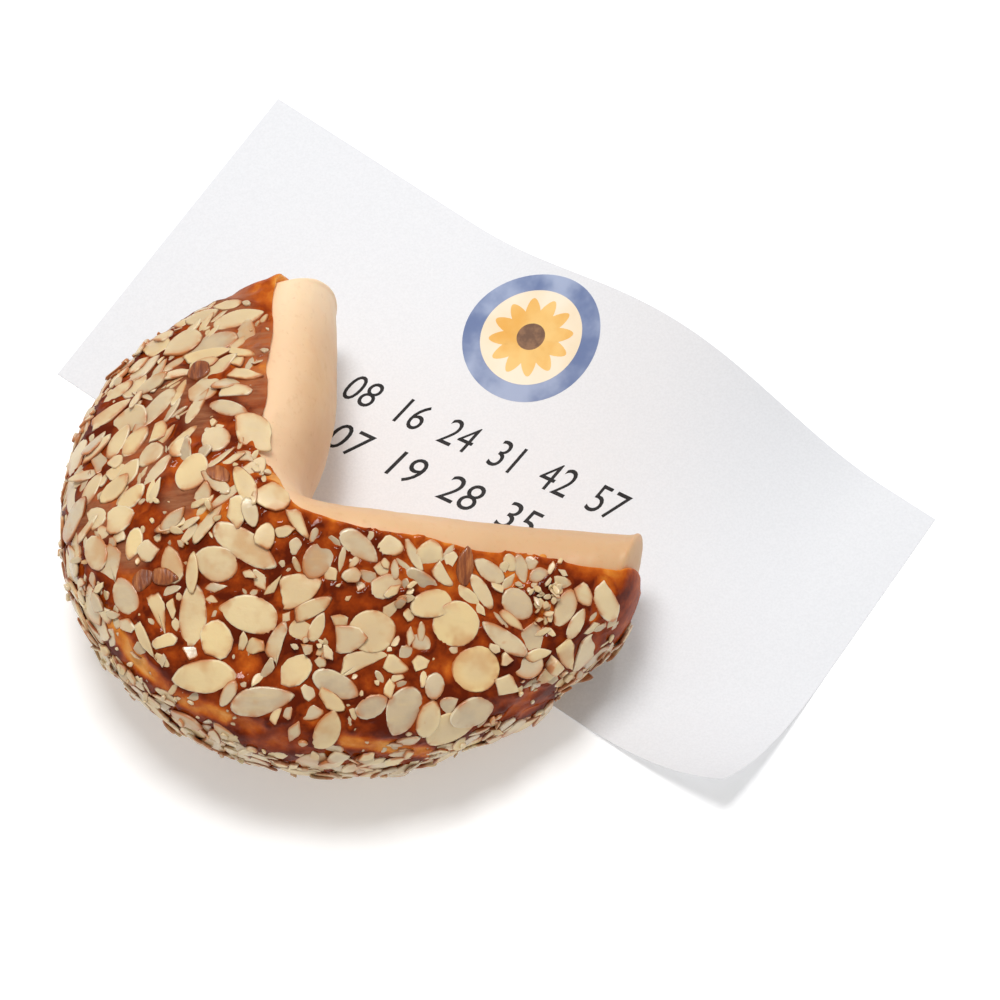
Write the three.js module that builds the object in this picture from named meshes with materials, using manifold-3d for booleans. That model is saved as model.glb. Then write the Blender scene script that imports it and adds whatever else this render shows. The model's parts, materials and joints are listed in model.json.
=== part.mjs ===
// A giant fortune cookie: a puffed, folded biscuit bent into two horns, its flanks dipped in
// caramel and pressed with flaked almonds, lying on its side on its own paper fortune.
// Millimetres, +Z up. Plan shapes are first drawn about the crease at the bottom of the V notch.
import * as THREE from "three";
import { mergeVertices } from "three/addons/utils/BufferGeometryUtils.js";
import Module from "manifold-3d";

const wasm = await Module();
wasm.setup();

// Fold: the rounded inner edge, bent at the crease into a short and a long arm
const SHORT_ARM = 71;
const LONG_ARM = 86;
const SHORT_ARM_DIRECTION = 91;          // degrees in plan
const LONG_ARM_DIRECTION = -1.6;
const CREASE_ROUNDING = 10;
const CREASE_PINCH = 11.8;               // how far the bend pulls the fold inwards
const PINCH_DIRECTION = 185;
const PINCH_REACH_SHORT = 20;
const PINCH_REACH_LONG = 41;

// Rim: a growing spiral about a centre behind the crease
const RIM_CENTRE = new THREE.Vector2(-17.6, 7.1);
const RIM_START_ANGLE = 107;
const RIM_END_ANGLE = 338;
const RIM_START_RADIUS = 59.6;
const RIM_END_RADIUS = 102;
const RIM_GROWTH = 4;
const RIM_WAVE = -3;

// Section from the fold to the rim
const BEND_HALF_HEIGHT = 42;
const SHORT_TIP_HALF_HEIGHT = 30;
const LONG_TIP_HALF_HEIGHT = 28;
const FOLD_DEPTH = 20;                   // plan depth of the rounded fold
const FOLD_SHARE = 0.6;                  // most of a short section that the fold may take
const RIM_DEPTH = 11;                    // plan depth of the roll-over at the rim
const RIM_SHARE = 0.35;
const RIM_SQUARENESS = 2.3;
const FLANK_FALL = 0.5;                  // share of the height lost from fold to rim
const FLANK_CURVE = 1.5;
const TIP_DROOP = 0.6;                   // share of a horn's missing height by which it hangs lower
const TIP_DEPTH = 6;                     // how far the blunt end of a horn bulges
const TIP_SPAN = 8;                      // stretch of the along coordinate given to that end
const LUMP_HEIGHT = 0.7;                 // baked unevenness
const LUMP_PITCH = 0.13;
const LUMP_PHASE = 1;
const END_STEP = 2;                      // stretch over which a horn's end direction is taken

// Where the fold, the flank and the roll-over meet on the around coordinate
const FOLD_END = 0.3;
const FLANK_END = 0.8;

// Coat of caramel
const COAT_GAP = 0.6;
const COAT_GROWTH = 2.9;
const BAND_WIDTH = 16.5;                 // bare stretch of the fold seen from above
const BAND_NARROWING = 10;               // the caramel reaches closer to the crease
const BAND_NARROWING_REACH = 11;
const BAND_WAVE = 0.9;                   // the caramel's edge wanders by this much
const BAND_WAVE_PITCH = 0.21;
const BAND_SWELL_PITCH = 0.067;
const UPPER_BAND_PHASE = 0.4;
const LOWER_BAND_PHASE = 2.1;
const BAND_STEP = 3;
const BAND_OVERRUN = 16;                 // its edge runs straight off the horns' ends
const BAND_OVERLAP = 3;                  // upper and lower cuts meet past each other

// Flaked almonds
const FLAKE_COUNT = 160;
const FLAKE_ATTEMPTS = 60000;
const FLAKE_SINK = 1.0;                  // how deep a flake is set in the caramel
const FLAKE_THICKNESS = 1.3;             // how far it stands proud
const FLAKE_LONGEST = 20;
const FLAKE_SHORTEST = 6;
const FLAKE_SIZE_CURVE = 1.5;            // large flakes come first, small ones fill in
const FLAKE_UNEVENNESS = 0.15;
const FLAKE_TILT = 0.025;
const FLAKE_CLEARANCE = 0.9;
const FLAKE_EDGE_SHARE = 0.4;            // share of its length a flake keeps from the bare band
const FLAKE_AROUND_START = 0.32;
const FLAKE_OVERRUN = 2;                 // flakes reach this far onto the horns' ends
const FLAKE_SEED = 20;
const SEAM_MARGIN = 0.05;                // on the around coordinate, by the fold
const FULL_STATION = 8;                  // a station this long in two steps takes every flake

// Paper fortune
const SLIP_LENGTH = 243;
const SLIP_WIDTH = 113;
const SLIP_THICKNESS = 0.4;
const SLIP_COLUMNS = 24;
const SLIP_ROWS = 12;
const SLIP_CORNER = new THREE.Vector2(-22, 156);
const SLIP_DIRECTION = -35;
const CREST_HEIGHT = 24;                 // the far edge rises in one wave
const CREST_PLACE = 150;
const CREST_REACH = 75;
const CREST_FADE = 95;
const CURL_RADIUS = 36;                  // the near right corner rolls up about a slanting line
const CURL_REACH = 39;                   // from that corner, towards the middle of the sheet

// Heights above the table
const RESTING_DEPTH = 3.6;               // how much of the rounded underside rests flattened
const MIDDLE_HEIGHT = BEND_HALF_HEIGHT + COAT_GROWTH - RESTING_DEPTH;
const SLIP_CLEARANCE = SLIP_THICKNESS + 0.3;
const SLIP_ROOM_DEPTH = 10;
const SLIP_ROOM_GROWTH = 1.01;
const FAR_AWAY = 200;

const COOKIE_STATIONS = 26;
const TIP_STATIONS = 3;
const AROUND_FOLD = 4;
const AROUND_FLANK = 3;
const AROUND_RIM = 3;

const radians = THREE.MathUtils.degToRad;
const direction = (degrees) => new THREE.Vector2(Math.cos(radians(degrees)), Math.sin(radians(degrees)));
const clamp01 = (x) => Math.min(1, Math.max(0, x));
const smooth = (x) => clamp01(x) ** 2 * (3 - 2 * clamp01(x));
const quarterArc = (x, power) => (1 - (1 - clamp01(x)) ** power) ** (1 / power);
const bump = (x) => (Math.abs(x) < 1 ? Math.cos((Math.PI / 2) * x) ** 2 : 0);

// ---------------------------------------------------------------- plan curves

function foldPoint(along) {
  const root = Math.hypot(along, CREASE_ROUNDING);
  const reach = along < 0 ? PINCH_REACH_SHORT : PINCH_REACH_LONG;
  return new THREE.Vector2()
    .addScaledVector(direction(SHORT_ARM_DIRECTION), (root - along) / 2)
    .addScaledVector(direction(LONG_ARM_DIRECTION), (root + along) / 2)
    .addScaledVector(direction(PINCH_DIRECTION), CREASE_PINCH * Math.exp(-((along / reach) ** 2)));
}

function rimPoint(along, growth = 0) {
  const t = (along + SHORT_ARM) / (SHORT_ARM + LONG_ARM);
  const radius = growth + RIM_START_RADIUS + (RIM_END_RADIUS - RIM_START_RADIUS) * t ** RIM_GROWTH
    + RIM_WAVE * Math.sin(2 * Math.PI * t);
  const angle = RIM_START_ANGLE + (RIM_END_ANGLE - RIM_START_ANGLE) * t;
  return direction(angle).multiplyScalar(radius).add(RIM_CENTRE);
}

function halfHeight(along) {
  const tip = along < 0 ? SHORT_TIP_HALF_HEIGHT : LONG_TIP_HALF_HEIGHT;
  const arm = along < 0 ? SHORT_ARM : LONG_ARM;
  return THREE.MathUtils.lerp(BEND_HALF_HEIGHT, tip, smooth(Math.abs(along) / arm));
}

function tipDirection(end) {
  const before = end - END_STEP * Math.sign(end);
  return foldPoint(end).sub(foldPoint(before)).add(rimPoint(end)).sub(rimPoint(before)).normalize();
}

// ---------------------------------------------------------------- the puffed skin
// along runs over the fold from horn to horn; around goes 0 at the fold, over the upper flank
// to 1 at the rim, and back under the lower flank to 2.

function planOffset(side, length, foldDepth, rimDepth) {
  if (side < FOLD_END) {
    return foldDepth * (1 - Math.cos((Math.PI / 2) * (side / FOLD_END)));
  }
  if (side > FLANK_END) {
    return length - rimDepth * (1 - Math.cos((Math.PI / 2) * ((1 - side) / (1 - FLANK_END))));
  }
  const share = (side - FOLD_END) / (FLANK_END - FOLD_END);
  return THREE.MathUtils.lerp(foldDepth, length - rimDepth, share);
}

function skinPoint(along, around, growth) {
  const arm = along < 0 ? SHORT_ARM : LONG_ARM;
  const station = THREE.MathUtils.clamp(along, -SHORT_ARM, LONG_ARM);
  const overrun = (Math.PI / 2) * clamp01((Math.abs(along) - arm) / TIP_SPAN);
  const shrink = Math.cos(overrun);
  const fold = foldPoint(station);
  const rim = rimPoint(station, growth);
  const across = rim.clone().sub(fold).normalize();
  fold.addScaledVector(across, -growth);
  const middle = fold.clone().lerp(rim, 0.5);
  const bulge = tipDirection(Math.sign(along || 1) * arm)
    .multiplyScalar((TIP_DEPTH + growth) * Math.sin(overrun));
  const length = fold.distanceTo(rim) * shrink;
  const foldDepth = Math.min(FOLD_DEPTH, FOLD_SHARE * length);
  const rimDepth = Math.min(RIM_DEPTH, RIM_SHARE * length);
  const side = around <= 1 ? around : 2 - around;
  const offset = planOffset(side, length, foldDepth, rimDepth);
  const start = middle.clone().lerp(fold, shrink).add(bulge);
  const plan = start.addScaledVector(across, offset);
  const lump = LUMP_HEIGHT * Math.sin(LUMP_PITCH * plan.x + LUMP_PHASE)
    * Math.sin(LUMP_PITCH * plan.y + around);
  const part = (distance, whole) => (length > 0 ? distance / whole : 0);
  const height = (halfHeight(station) + growth + lump) * shrink
    * quarterArc(part(offset, foldDepth), 2)
    * quarterArc(part(length - offset, rimDepth), RIM_SQUARENESS)
    * (1 - FLANK_FALL * part(offset, length) ** FLANK_CURVE);
  const droop = TIP_DROOP * (BEND_HALF_HEIGHT - halfHeight(station));
  return new THREE.Vector3(plan.x, plan.y, MIDDLE_HEIGHT - droop + (around <= 1 ? height : -height));
}

function alongStations() {
  const stations = [];
  for (let k = 1; k < TIP_STATIONS; k++) stations.push(-SHORT_ARM - TIP_SPAN * (1 - k / TIP_STATIONS));
  for (let k = 0; k <= COOKIE_STATIONS; k++) {
    stations.push(THREE.MathUtils.lerp(-SHORT_ARM, LONG_ARM, k / COOKIE_STATIONS));
  }
  for (let k = TIP_STATIONS - 1; k > 0; k--) stations.push(LONG_ARM + TIP_SPAN * (1 - k / TIP_STATIONS));
  return stations;
}

function aroundStations() {
  const half = [];
  for (let k = 0; k < AROUND_FOLD; k++) half.push((FOLD_END * k) / AROUND_FOLD);
  for (let k = 0; k < AROUND_FLANK; k++) {
    half.push(THREE.MathUtils.lerp(FOLD_END, FLANK_END, k / AROUND_FLANK));
  }
  for (let k = 0; k <= AROUND_RIM; k++) half.push(THREE.MathUtils.lerp(FLANK_END, 1, k / AROUND_RIM));
  return [...half, ...half.slice(1, -1).reverse().map((side) => 2 - side)];
}

// ---------------------------------------------------------------- solids

function toManifold(geometry) {
  const bare = geometry.index ? geometry.clone() : geometry;
  bare.deleteAttribute("normal");
  bare.deleteAttribute("uv");
  const merged = mergeVertices(bare, 1e-4);
  return new wasm.Manifold(new wasm.Mesh({
    numProp: 3,
    vertProperties: new Float32Array(merged.attributes.position.array),
    triVerts: new Uint32Array(merged.index.array),
  }));
}

function toGeometry(manifold) {
  const mesh = manifold.getMesh();
  const geometry = new THREE.BufferGeometry();
  geometry.setAttribute("position", new THREE.BufferAttribute(mesh.vertProperties, 3));
  geometry.setIndex(new THREE.BufferAttribute(mesh.triVerts, 1));
  geometry.computeVertexNormals();
  return geometry;
}

function indexed(points, triangles) {
  const geometry = new THREE.BufferGeometry().setFromPoints(points);
  geometry.setIndex(triangles);
  return geometry;
}

function skinSolid(growth) {
  const stations = alongStations();
  const arounds = aroundStations();
  const count = arounds.length;
  const points = stations.flatMap((along) => arounds.map((around) => skinPoint(along, around, growth)));
  const triangles = [];
  for (let i = 0; i < stations.length - 1; i++) {
    for (let j = 0; j < count; j++) {
      const next = (j + 1) % count;
      const corners = [i * count + j, i * count + next, (i + 1) * count + next, (i + 1) * count + j];
      triangles.push(corners[0], corners[1], corners[2], corners[0], corners[2], corners[3]);
    }
  }
  const shortPole = points.push(skinPoint(-SHORT_ARM - TIP_SPAN, 0, growth)) - 1;
  const longPole = points.push(skinPoint(LONG_ARM + TIP_SPAN, 0, growth)) - 1;
  const last = (stations.length - 1) * count;
  for (let j = 0; j < count; j++) {
    const next = (j + 1) % count;
    triangles.push(shortPole, next, j, longPole, last + j, last + next);
  }
  return toManifold(indexed(points, triangles));
}

function box(minimum, maximum) {
  const size = maximum.clone().sub(minimum);
  const geometry = new THREE.BoxGeometry(size.x, size.y, size.z);
  geometry.translate(...minimum.clone().add(maximum).multiplyScalar(0.5).toArray());
  return toManifold(geometry);
}

// The undipped stretch of the fold, as a prism over its plan outline
function bandPrism(phase, low, high) {
  const outline = [];
  for (let along = -SHORT_ARM; along <= LONG_ARM; along += BAND_STEP) {
    const across = rimPoint(along).sub(foldPoint(along)).normalize();
    const width = BAND_WIDTH - BAND_NARROWING * Math.exp(-((along / BAND_NARROWING_REACH) ** 2))
      + BAND_WAVE * Math.sin(BAND_WAVE_PITCH * along + phase)
      * Math.sin(BAND_SWELL_PITCH * along + 2 * phase);
    outline.push(foldPoint(along).addScaledVector(across, width));
  }
  const shortEnd = outline[0].clone().addScaledVector(direction(SHORT_ARM_DIRECTION), BAND_OVERRUN);
  const longEnd = outline.at(-1).clone().addScaledVector(direction(LONG_ARM_DIRECTION), BAND_OVERRUN);
  const far = [new THREE.Vector2(FAR_AWAY, longEnd.y), new THREE.Vector2(FAR_AWAY, FAR_AWAY),
    new THREE.Vector2(shortEnd.x, FAR_AWAY)];
  const shape = new THREE.Shape([shortEnd, ...outline, longEnd, ...far]);
  const geometry = new THREE.ExtrudeGeometry(shape, { depth: high - low, bevelEnabled: false });
  geometry.translate(0, 0, low);
  return toManifold(geometry);
}

// ---------------------------------------------------------------- flaked almonds

function seededRandom(seed) {
  const multiplier = 1664525;
  const increment = 1013904223;
  const modulus = 2 ** 32;
  let state = seed;
  return () => {
    state = (state * multiplier + increment) % modulus;
    return state / modulus;
  };
}

// Outlines in a unit circle: whole slices, cross slices, broken ends and slivers
const FLAKE_KINDS = [
  { upTo: 0.42, corners: 6, slender: 0.5, broken: 0, size: 1 },
  { upTo: 0.58, corners: 7, slender: 0.85, broken: 0, size: 0.7 },
  { upTo: 0.86, corners: 5, slender: 0.65, broken: 0.45, size: 1 },
  { upTo: 1.0, corners: 4, slender: 0.35, broken: 0, size: 1 },
];

function flakeOutline(kind, length, turn) {
  const points = [];
  for (let k = 0; k < kind.corners; k++) {
    const angle = (2 * Math.PI * k) / kind.corners;
    const x = Math.max(Math.cos(angle), -1 + kind.broken) * (length / 2);
    const y = Math.sin(angle) * (length / 2) * kind.slender;
    points.push(new THREE.Vector2(x, y).rotateAround(new THREE.Vector2(), turn));
  }
  return points;
}

function flakeSolid(along, around, outline, tilt) {
  const step = 0.01;
  const here = skinPoint(along, around, COAT_GROWTH);
  const alongScale = here.distanceTo(skinPoint(along + 1, around, COAT_GROWTH));
  const aroundScale = here.distanceTo(skinPoint(along, around + step, COAT_GROWTH)) / step;
  const place = (corner, growth) => skinPoint(
    along + corner.x / alongScale,
    THREE.MathUtils.clamp(around + corner.y / aroundScale, SEAM_MARGIN, 2 - SEAM_MARGIN),
    growth,
  );
  const low = outline.map((corner) => place(corner, COAT_GROWTH - FLAKE_SINK));
  const high = outline.map((corner) => place(
    corner, COAT_GROWTH + FLAKE_THICKNESS + tilt * corner.x));
  const count = outline.length;
  const triangles = [];
  for (let k = 0; k < count; k++) {
    const next = (k + 1) % count;
    triangles.push(k, count + next, next, k, count + k, count + next);
    if (k > 0 && next > 0) triangles.push(0, k, next, count, count + next, count + k);
  }
  const geometry = indexed([...low, ...high], triangles);
  return toManifold(geometry);
}

function flakes() {
  const random = seededRandom(FLAKE_SEED);
  const placed = [];
  const solids = [];
  const between = (low, high) => THREE.MathUtils.lerp(low, high, random());
  for (let attempt = 0; solids.length < FLAKE_COUNT && attempt < FLAKE_ATTEMPTS; attempt++) {
    const progress = (solids.length / FLAKE_COUNT) ** FLAKE_SIZE_CURVE;
    const kindDraw = random();
    const kind = FLAKE_KINDS.find((entry) => kindDraw < entry.upTo);
    const length = THREE.MathUtils.lerp(FLAKE_LONGEST, FLAKE_SHORTEST, progress) * kind.size
      * between(1 - FLAKE_UNEVENNESS, 1 + FLAKE_UNEVENNESS);
    const along = between(-SHORT_ARM - FLAKE_OVERRUN, LONG_ARM + FLAKE_OVERRUN);
    const around = between(FLAKE_AROUND_START, 2 - FLAKE_AROUND_START);
    const turn = between(0, 2 * Math.PI);
    const tilt = between(-FLAKE_TILT, FLAKE_TILT);
    const centre = skinPoint(along, around, COAT_GROWTH);
    const keep = random();
    const fold = foldPoint(THREE.MathUtils.clamp(along, -SHORT_ARM, LONG_ARM));
    const inland = Math.hypot(centre.x - fold.x, centre.y - fold.y);
    const radius = 0.5 * length * Math.sqrt(kind.slender);
    const spread = skinPoint(along + 1, around, 0).distanceTo(skinPoint(along - 1, around, 0));
    const crowded = placed.some((other) => (
      other.centre.distanceTo(centre) < other.radius + radius + FLAKE_CLEARANCE));
    const onBand = inland < BAND_WIDTH + FLAKE_EDGE_SHARE * length;
    if (onBand || crowded || keep > spread / FULL_STATION) continue;
    placed.push({ centre, radius });
    solids.push(flakeSolid(along, around, flakeOutline(kind, length, turn), tilt));
  }
  return solids;
}

// ---------------------------------------------------------------- paper fortune

function crestHeight(lengthwise, crosswise) {
  return CREST_HEIGHT * bump((lengthwise - CREST_PLACE) / CREST_REACH)
    * Math.max(0, 1 - crosswise / CREST_FADE) ** 2;
}

function slipPlan(lengthwise, crosswise) {
  return SLIP_CORNER.clone()
    .addScaledVector(direction(SLIP_DIRECTION), lengthwise)
    .addScaledVector(direction(SLIP_DIRECTION - 90), crosswise);
}

function slipPoint(lengthwise, crosswise, above) {
  const fromCorner = (SLIP_LENGTH - lengthwise + SLIP_WIDTH - crosswise) / Math.SQRT2;
  const rolled = Math.max(0, CURL_REACH - fromCorner);
  const turn = rolled / CURL_RADIUS;
  const drawnIn = (rolled - CURL_RADIUS * Math.sin(turn)) / Math.SQRT2;
  const plan = slipPlan(lengthwise - drawnIn, crosswise - drawnIn);
  const height = crestHeight(lengthwise, crosswise) + CURL_RADIUS * (1 - Math.cos(turn));
  return new THREE.Vector3(plan.x, plan.y, height + above);
}

function slipGeometry() {
  const columns = SLIP_COLUMNS;
  const rows = SLIP_ROWS;
  const points = [];
  for (const above of [0, SLIP_THICKNESS]) {
    for (let i = 0; i <= columns; i++) {
      for (let j = 0; j <= rows; j++) {
        points.push(slipPoint((SLIP_LENGTH * i) / columns, (SLIP_WIDTH * j) / rows, above));
      }
    }
  }
  const face = (columns + 1) * (rows + 1);
  const at = (i, j, side) => side * face + i * (rows + 1) + j;
  const triangles = [];
  const quad = (a, b, c, d) => triangles.push(a, b, c, a, c, d);
  for (let i = 0; i < columns; i++) {
    for (let j = 0; j < rows; j++) {
      quad(at(i, j, 0), at(i + 1, j, 0), at(i + 1, j + 1, 0), at(i, j + 1, 0));
      triangles.push(at(i, j, 1), at(i + 1, j + 1, 1), at(i + 1, j, 1));
      triangles.push(at(i, j, 1), at(i, j + 1, 1), at(i + 1, j + 1, 1));
    }
    quad(at(i, 0, 0), at(i, 0, 1), at(i + 1, 0, 1), at(i + 1, 0, 0));
    quad(at(i, rows, 0), at(i + 1, rows, 0), at(i + 1, rows, 1), at(i, rows, 1));
  }
  for (let j = 0; j < rows; j++) {
    quad(at(0, j, 0), at(0, j + 1, 0), at(0, j + 1, 1), at(0, j, 1));
    quad(at(columns, j, 0), at(columns, j, 1), at(columns, j + 1, 1), at(columns, j + 1, 0));
  }
  const geometry = indexed(points, triangles);
  geometry.computeVertexNormals();
  return geometry;
}

// Room that the sheet takes under the cookie, where it lies flat
function slipRoom() {
  const corners = [[0, 0], [SLIP_LENGTH, 0], [SLIP_LENGTH, SLIP_WIDTH], [0, SLIP_WIDTH]];
  const outline = corners.map(([lengthwise, crosswise]) => slipPlan(lengthwise, crosswise));
  const centre = outline[0].clone().lerp(outline[2], 0.5);
  const grown = outline.map((corner) => corner.sub(centre).multiplyScalar(SLIP_ROOM_GROWTH).add(centre));
  const geometry = new THREE.ExtrudeGeometry(new THREE.Shape(grown), {
    depth: SLIP_ROOM_DEPTH + SLIP_CLEARANCE, bevelEnabled: false,
  });
  geometry.translate(0, 0, -SLIP_ROOM_DEPTH);
  return toManifold(geometry);
}

// ---------------------------------------------------------------- the object

function coatGeometry() {
  const table = box(
    new THREE.Vector3(-FAR_AWAY, -FAR_AWAY, -FAR_AWAY), new THREE.Vector3(FAR_AWAY, FAR_AWAY, 0));
  const upperBand = bandPrism(UPPER_BAND_PHASE, MIDDLE_HEIGHT - BAND_OVERLAP, FAR_AWAY);
  const lowerBand = bandPrism(LOWER_BAND_PHASE, -FAR_AWAY, MIDDLE_HEIGHT);
  let coat = skinSolid(COAT_GROWTH);
  for (const flake of flakes()) coat = coat.add(flake);
  for (const room of [skinSolid(COAT_GAP), upperBand, lowerBand, table, slipRoom()]) {
    coat = coat.subtract(room);
  }
  return toGeometry(coat);
}

function named(name, geometry, color, roughness) {
  const mesh = new THREE.Mesh(geometry, new THREE.MeshStandardMaterial({ color, roughness, metalness: 0 }));
  mesh.name = name;
  return mesh;
}

const model = new THREE.Group();
model.add(
  named("cookie", toGeometry(skinSolid(0)), 0xe9bd86, 0.7),
  named("caramel_almond_coat", coatGeometry(), 0xb06a34, 0.25),
  named("fortune_slip", slipGeometry(), 0xf4f4f4, 0.6),
);

// The origin stands under the middle of the whole, on the table
const extent = new THREE.Box3().setFromObject(model);
model.position.set(-(extent.min.x + extent.max.x) / 2, -(extent.min.y + extent.max.y) / 2, 0);

export default model;
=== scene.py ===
"""A giant fortune cookie dipped in caramel and flaked almonds, on its paper fortune.

Lengths are millimetres until a mesh is made. The form's own frame has its origin at the crease, as
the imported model's source has; SHIFT takes it to the row frame.
"""

import json
import math

import bmesh
import bpy
import numpy as np
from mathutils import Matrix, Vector
from mathutils.bvhtree import BVHTree

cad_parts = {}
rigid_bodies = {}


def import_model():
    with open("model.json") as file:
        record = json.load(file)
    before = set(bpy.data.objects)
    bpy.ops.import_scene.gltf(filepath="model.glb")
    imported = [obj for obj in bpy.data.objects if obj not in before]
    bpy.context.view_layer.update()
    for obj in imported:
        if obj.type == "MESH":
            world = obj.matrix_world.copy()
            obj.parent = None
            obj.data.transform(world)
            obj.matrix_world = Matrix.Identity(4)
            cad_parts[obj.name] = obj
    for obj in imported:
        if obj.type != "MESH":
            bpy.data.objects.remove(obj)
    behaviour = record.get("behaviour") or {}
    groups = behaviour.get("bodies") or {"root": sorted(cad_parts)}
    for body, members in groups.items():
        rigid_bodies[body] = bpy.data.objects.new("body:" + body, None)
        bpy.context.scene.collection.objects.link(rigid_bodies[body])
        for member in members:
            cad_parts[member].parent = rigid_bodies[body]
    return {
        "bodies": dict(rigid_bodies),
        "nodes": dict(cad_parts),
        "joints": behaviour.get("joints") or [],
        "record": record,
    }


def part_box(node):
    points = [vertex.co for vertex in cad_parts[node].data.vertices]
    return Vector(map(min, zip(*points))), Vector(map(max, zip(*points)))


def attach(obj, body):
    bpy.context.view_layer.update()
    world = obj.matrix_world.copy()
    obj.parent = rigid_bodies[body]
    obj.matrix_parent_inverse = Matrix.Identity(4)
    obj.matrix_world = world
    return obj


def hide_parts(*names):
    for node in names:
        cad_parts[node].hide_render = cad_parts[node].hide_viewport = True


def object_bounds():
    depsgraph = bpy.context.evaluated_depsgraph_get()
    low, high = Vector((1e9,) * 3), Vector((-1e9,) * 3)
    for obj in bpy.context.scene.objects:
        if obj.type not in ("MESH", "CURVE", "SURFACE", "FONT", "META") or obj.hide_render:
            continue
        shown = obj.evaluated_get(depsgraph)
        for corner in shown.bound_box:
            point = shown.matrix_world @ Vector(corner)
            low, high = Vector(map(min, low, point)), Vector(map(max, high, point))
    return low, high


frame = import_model()
cad_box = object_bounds()

MM = 0.001
rng = np.random.default_rng(20)

# ------------------------------------------------------------------ named sizes, as in the CAD part
SHORT_ARM, LONG_ARM = 71.0, 86.0
SHORT_ARM_DIRECTION, LONG_ARM_DIRECTION = 91.0, -1.6
CREASE_ROUNDING, CREASE_PINCH, PINCH_DIRECTION = 10.0, 11.8, 185.0
PINCH_REACH_SHORT, PINCH_REACH_LONG = 20.0, 41.0
RIM_CENTRE = np.array([-17.6, 7.1])
RIM_START_ANGLE, RIM_END_ANGLE = 107.0, 338.0
RIM_START_RADIUS, RIM_END_RADIUS = 59.6, 102.0
RIM_GROWTH, RIM_WAVE = 4, -3.0
BEND_HALF_HEIGHT, SHORT_TIP_HALF_HEIGHT, LONG_TIP_HALF_HEIGHT = 42.0, 30.0, 28.0
FOLD_DEPTH, FOLD_SHARE = 20.0, 0.6
RIM_DEPTH, RIM_SHARE, RIM_SQUARENESS = 11.0, 0.35, 2.3
FLANK_FALL, FLANK_CURVE = 0.5, 1.5
TIP_DROOP, TIP_DEPTH, TIP_SPAN = 0.6, 6.0, 8.0
LUMP_HEIGHT, LUMP_PITCH, LUMP_PHASE = 0.7, 0.13, 1.0
END_STEP = 2.0
FOLD_END, FLANK_END = 0.3, 0.8
MIDDLE_HEIGHT = 41.3
SHORTEST = 1e-6
BAND_WIDTH, BAND_NARROWING, BAND_NARROWING_REACH, BAND_WAVE = 16.5, 10.0, 11.0, 0.9
BAND_WAVE_PITCH, BAND_SWELL_PITCH = 0.21, 0.067
UPPER_BAND_PHASE, LOWER_BAND_PHASE = 0.4, 2.1
SLIP_LENGTH, SLIP_WIDTH, SLIP_THICKNESS = 243.0, 113.0, 0.4
SLIP_CORNER = np.array([-22.0, 156.0])
SLIP_DIRECTION = -35.0
CREST_HEIGHT, CREST_PLACE, CREST_REACH, CREST_FADE = 24.0, 150.0, 75.0, 95.0
CURL_RADIUS, CURL_REACH = 36.0, 39.0


def unit(degrees):
    return np.array([math.cos(math.radians(degrees)), math.sin(math.radians(degrees))])


def on_circle(angles):
    return np.stack([np.cos(angles), np.sin(angles)], -1)


def smooth(x):
    x = np.clip(x, 0, 1)
    return x * x * (3 - 2 * x)


def quarter_arc(x, power):
    return (1 - (1 - np.clip(x, 0, 1)) ** power) ** (1 / power)


def per_arm(along, short, long):
    """One value where a station lies on the short arm, and another on the long one."""
    return np.where(along < 0, short, long)


# ------------------------------------------------------------------ the paper
def curl(lengthwise, crosswise):
    """How high the rolled corner lifts the paper, and how far it draws it in each way."""
    from_corner = (SLIP_LENGTH - lengthwise + SLIP_WIDTH - crosswise) / math.sqrt(2)
    rolled = np.maximum(0, CURL_REACH - from_corner)
    turn = rolled / CURL_RADIUS
    return CURL_RADIUS * (1 - np.cos(turn)), (rolled - CURL_RADIUS * np.sin(turn)) / math.sqrt(2)


def slip_height(lengthwise, crosswise):
    x = (lengthwise - CREST_PLACE) / CREST_REACH
    crest = np.where(np.abs(x) < 1, np.cos(np.pi / 2 * x) ** 2, 0)
    crest = CREST_HEIGHT * crest * np.maximum(0, 1 - crosswise / CREST_FADE) ** 2
    return crest + curl(lengthwise, crosswise)[0]


def slip_point(lengthwise, crosswise, above):
    """A point of the paper, above its underside, in the form's frame."""
    lengthwise, crosswise = np.asarray(lengthwise, float), np.asarray(crosswise, float)
    drawn_in = curl(lengthwise, crosswise)[1]
    plan = (SLIP_CORNER + (lengthwise - drawn_in)[..., None] * unit(SLIP_DIRECTION)
            + (crosswise - drawn_in)[..., None] * unit(SLIP_DIRECTION - 90))
    height = slip_height(lengthwise, crosswise) + above
    return np.concatenate([plan, height[..., None]], -1)


corners = slip_point(np.array([0, SLIP_LENGTH, SLIP_LENGTH, 0]),
                     np.array([0, 0, SLIP_WIDTH, SLIP_WIDTH]), 0.0)
slip_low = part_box("fortune_slip")[0]
SHIFT = np.array([slip_low.x / MM, slip_low.y / MM, 0]) - np.append(corners[:, :2].min(0), 0)

# ------------------------------------------------------------------ the camera, over the table
PICTURE = 1000
PIXELS_PER_MM = 3.5
CAMERA_ELEVATION = 70.0
CAMERA_DISTANCE = 1000.0
AIM = np.array([47.2, 6.9, MIDDLE_HEIGHT + 2.5]) + SHIFT
LOOK = np.array([0, *unit(-CAMERA_ELEVATION)])
UP = np.array([0, -LOOK[2], LOOK[1]])
RIGHT = np.array([1.0, 0, 0])
EYE = AIM - LOOK * CAMERA_DISTANCE


def to_picture(points):
    """Picture coordinates, right and down from the top left corner, of points in the row frame."""
    offset = np.asarray(points) - AIM
    scale = CAMERA_DISTANCE * PIXELS_PER_MM / (CAMERA_DISTANCE + offset @ LOOK)
    return np.stack([PICTURE / 2 + offset @ RIGHT * scale, PICTURE / 2 - offset @ UP * scale], -1)


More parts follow.
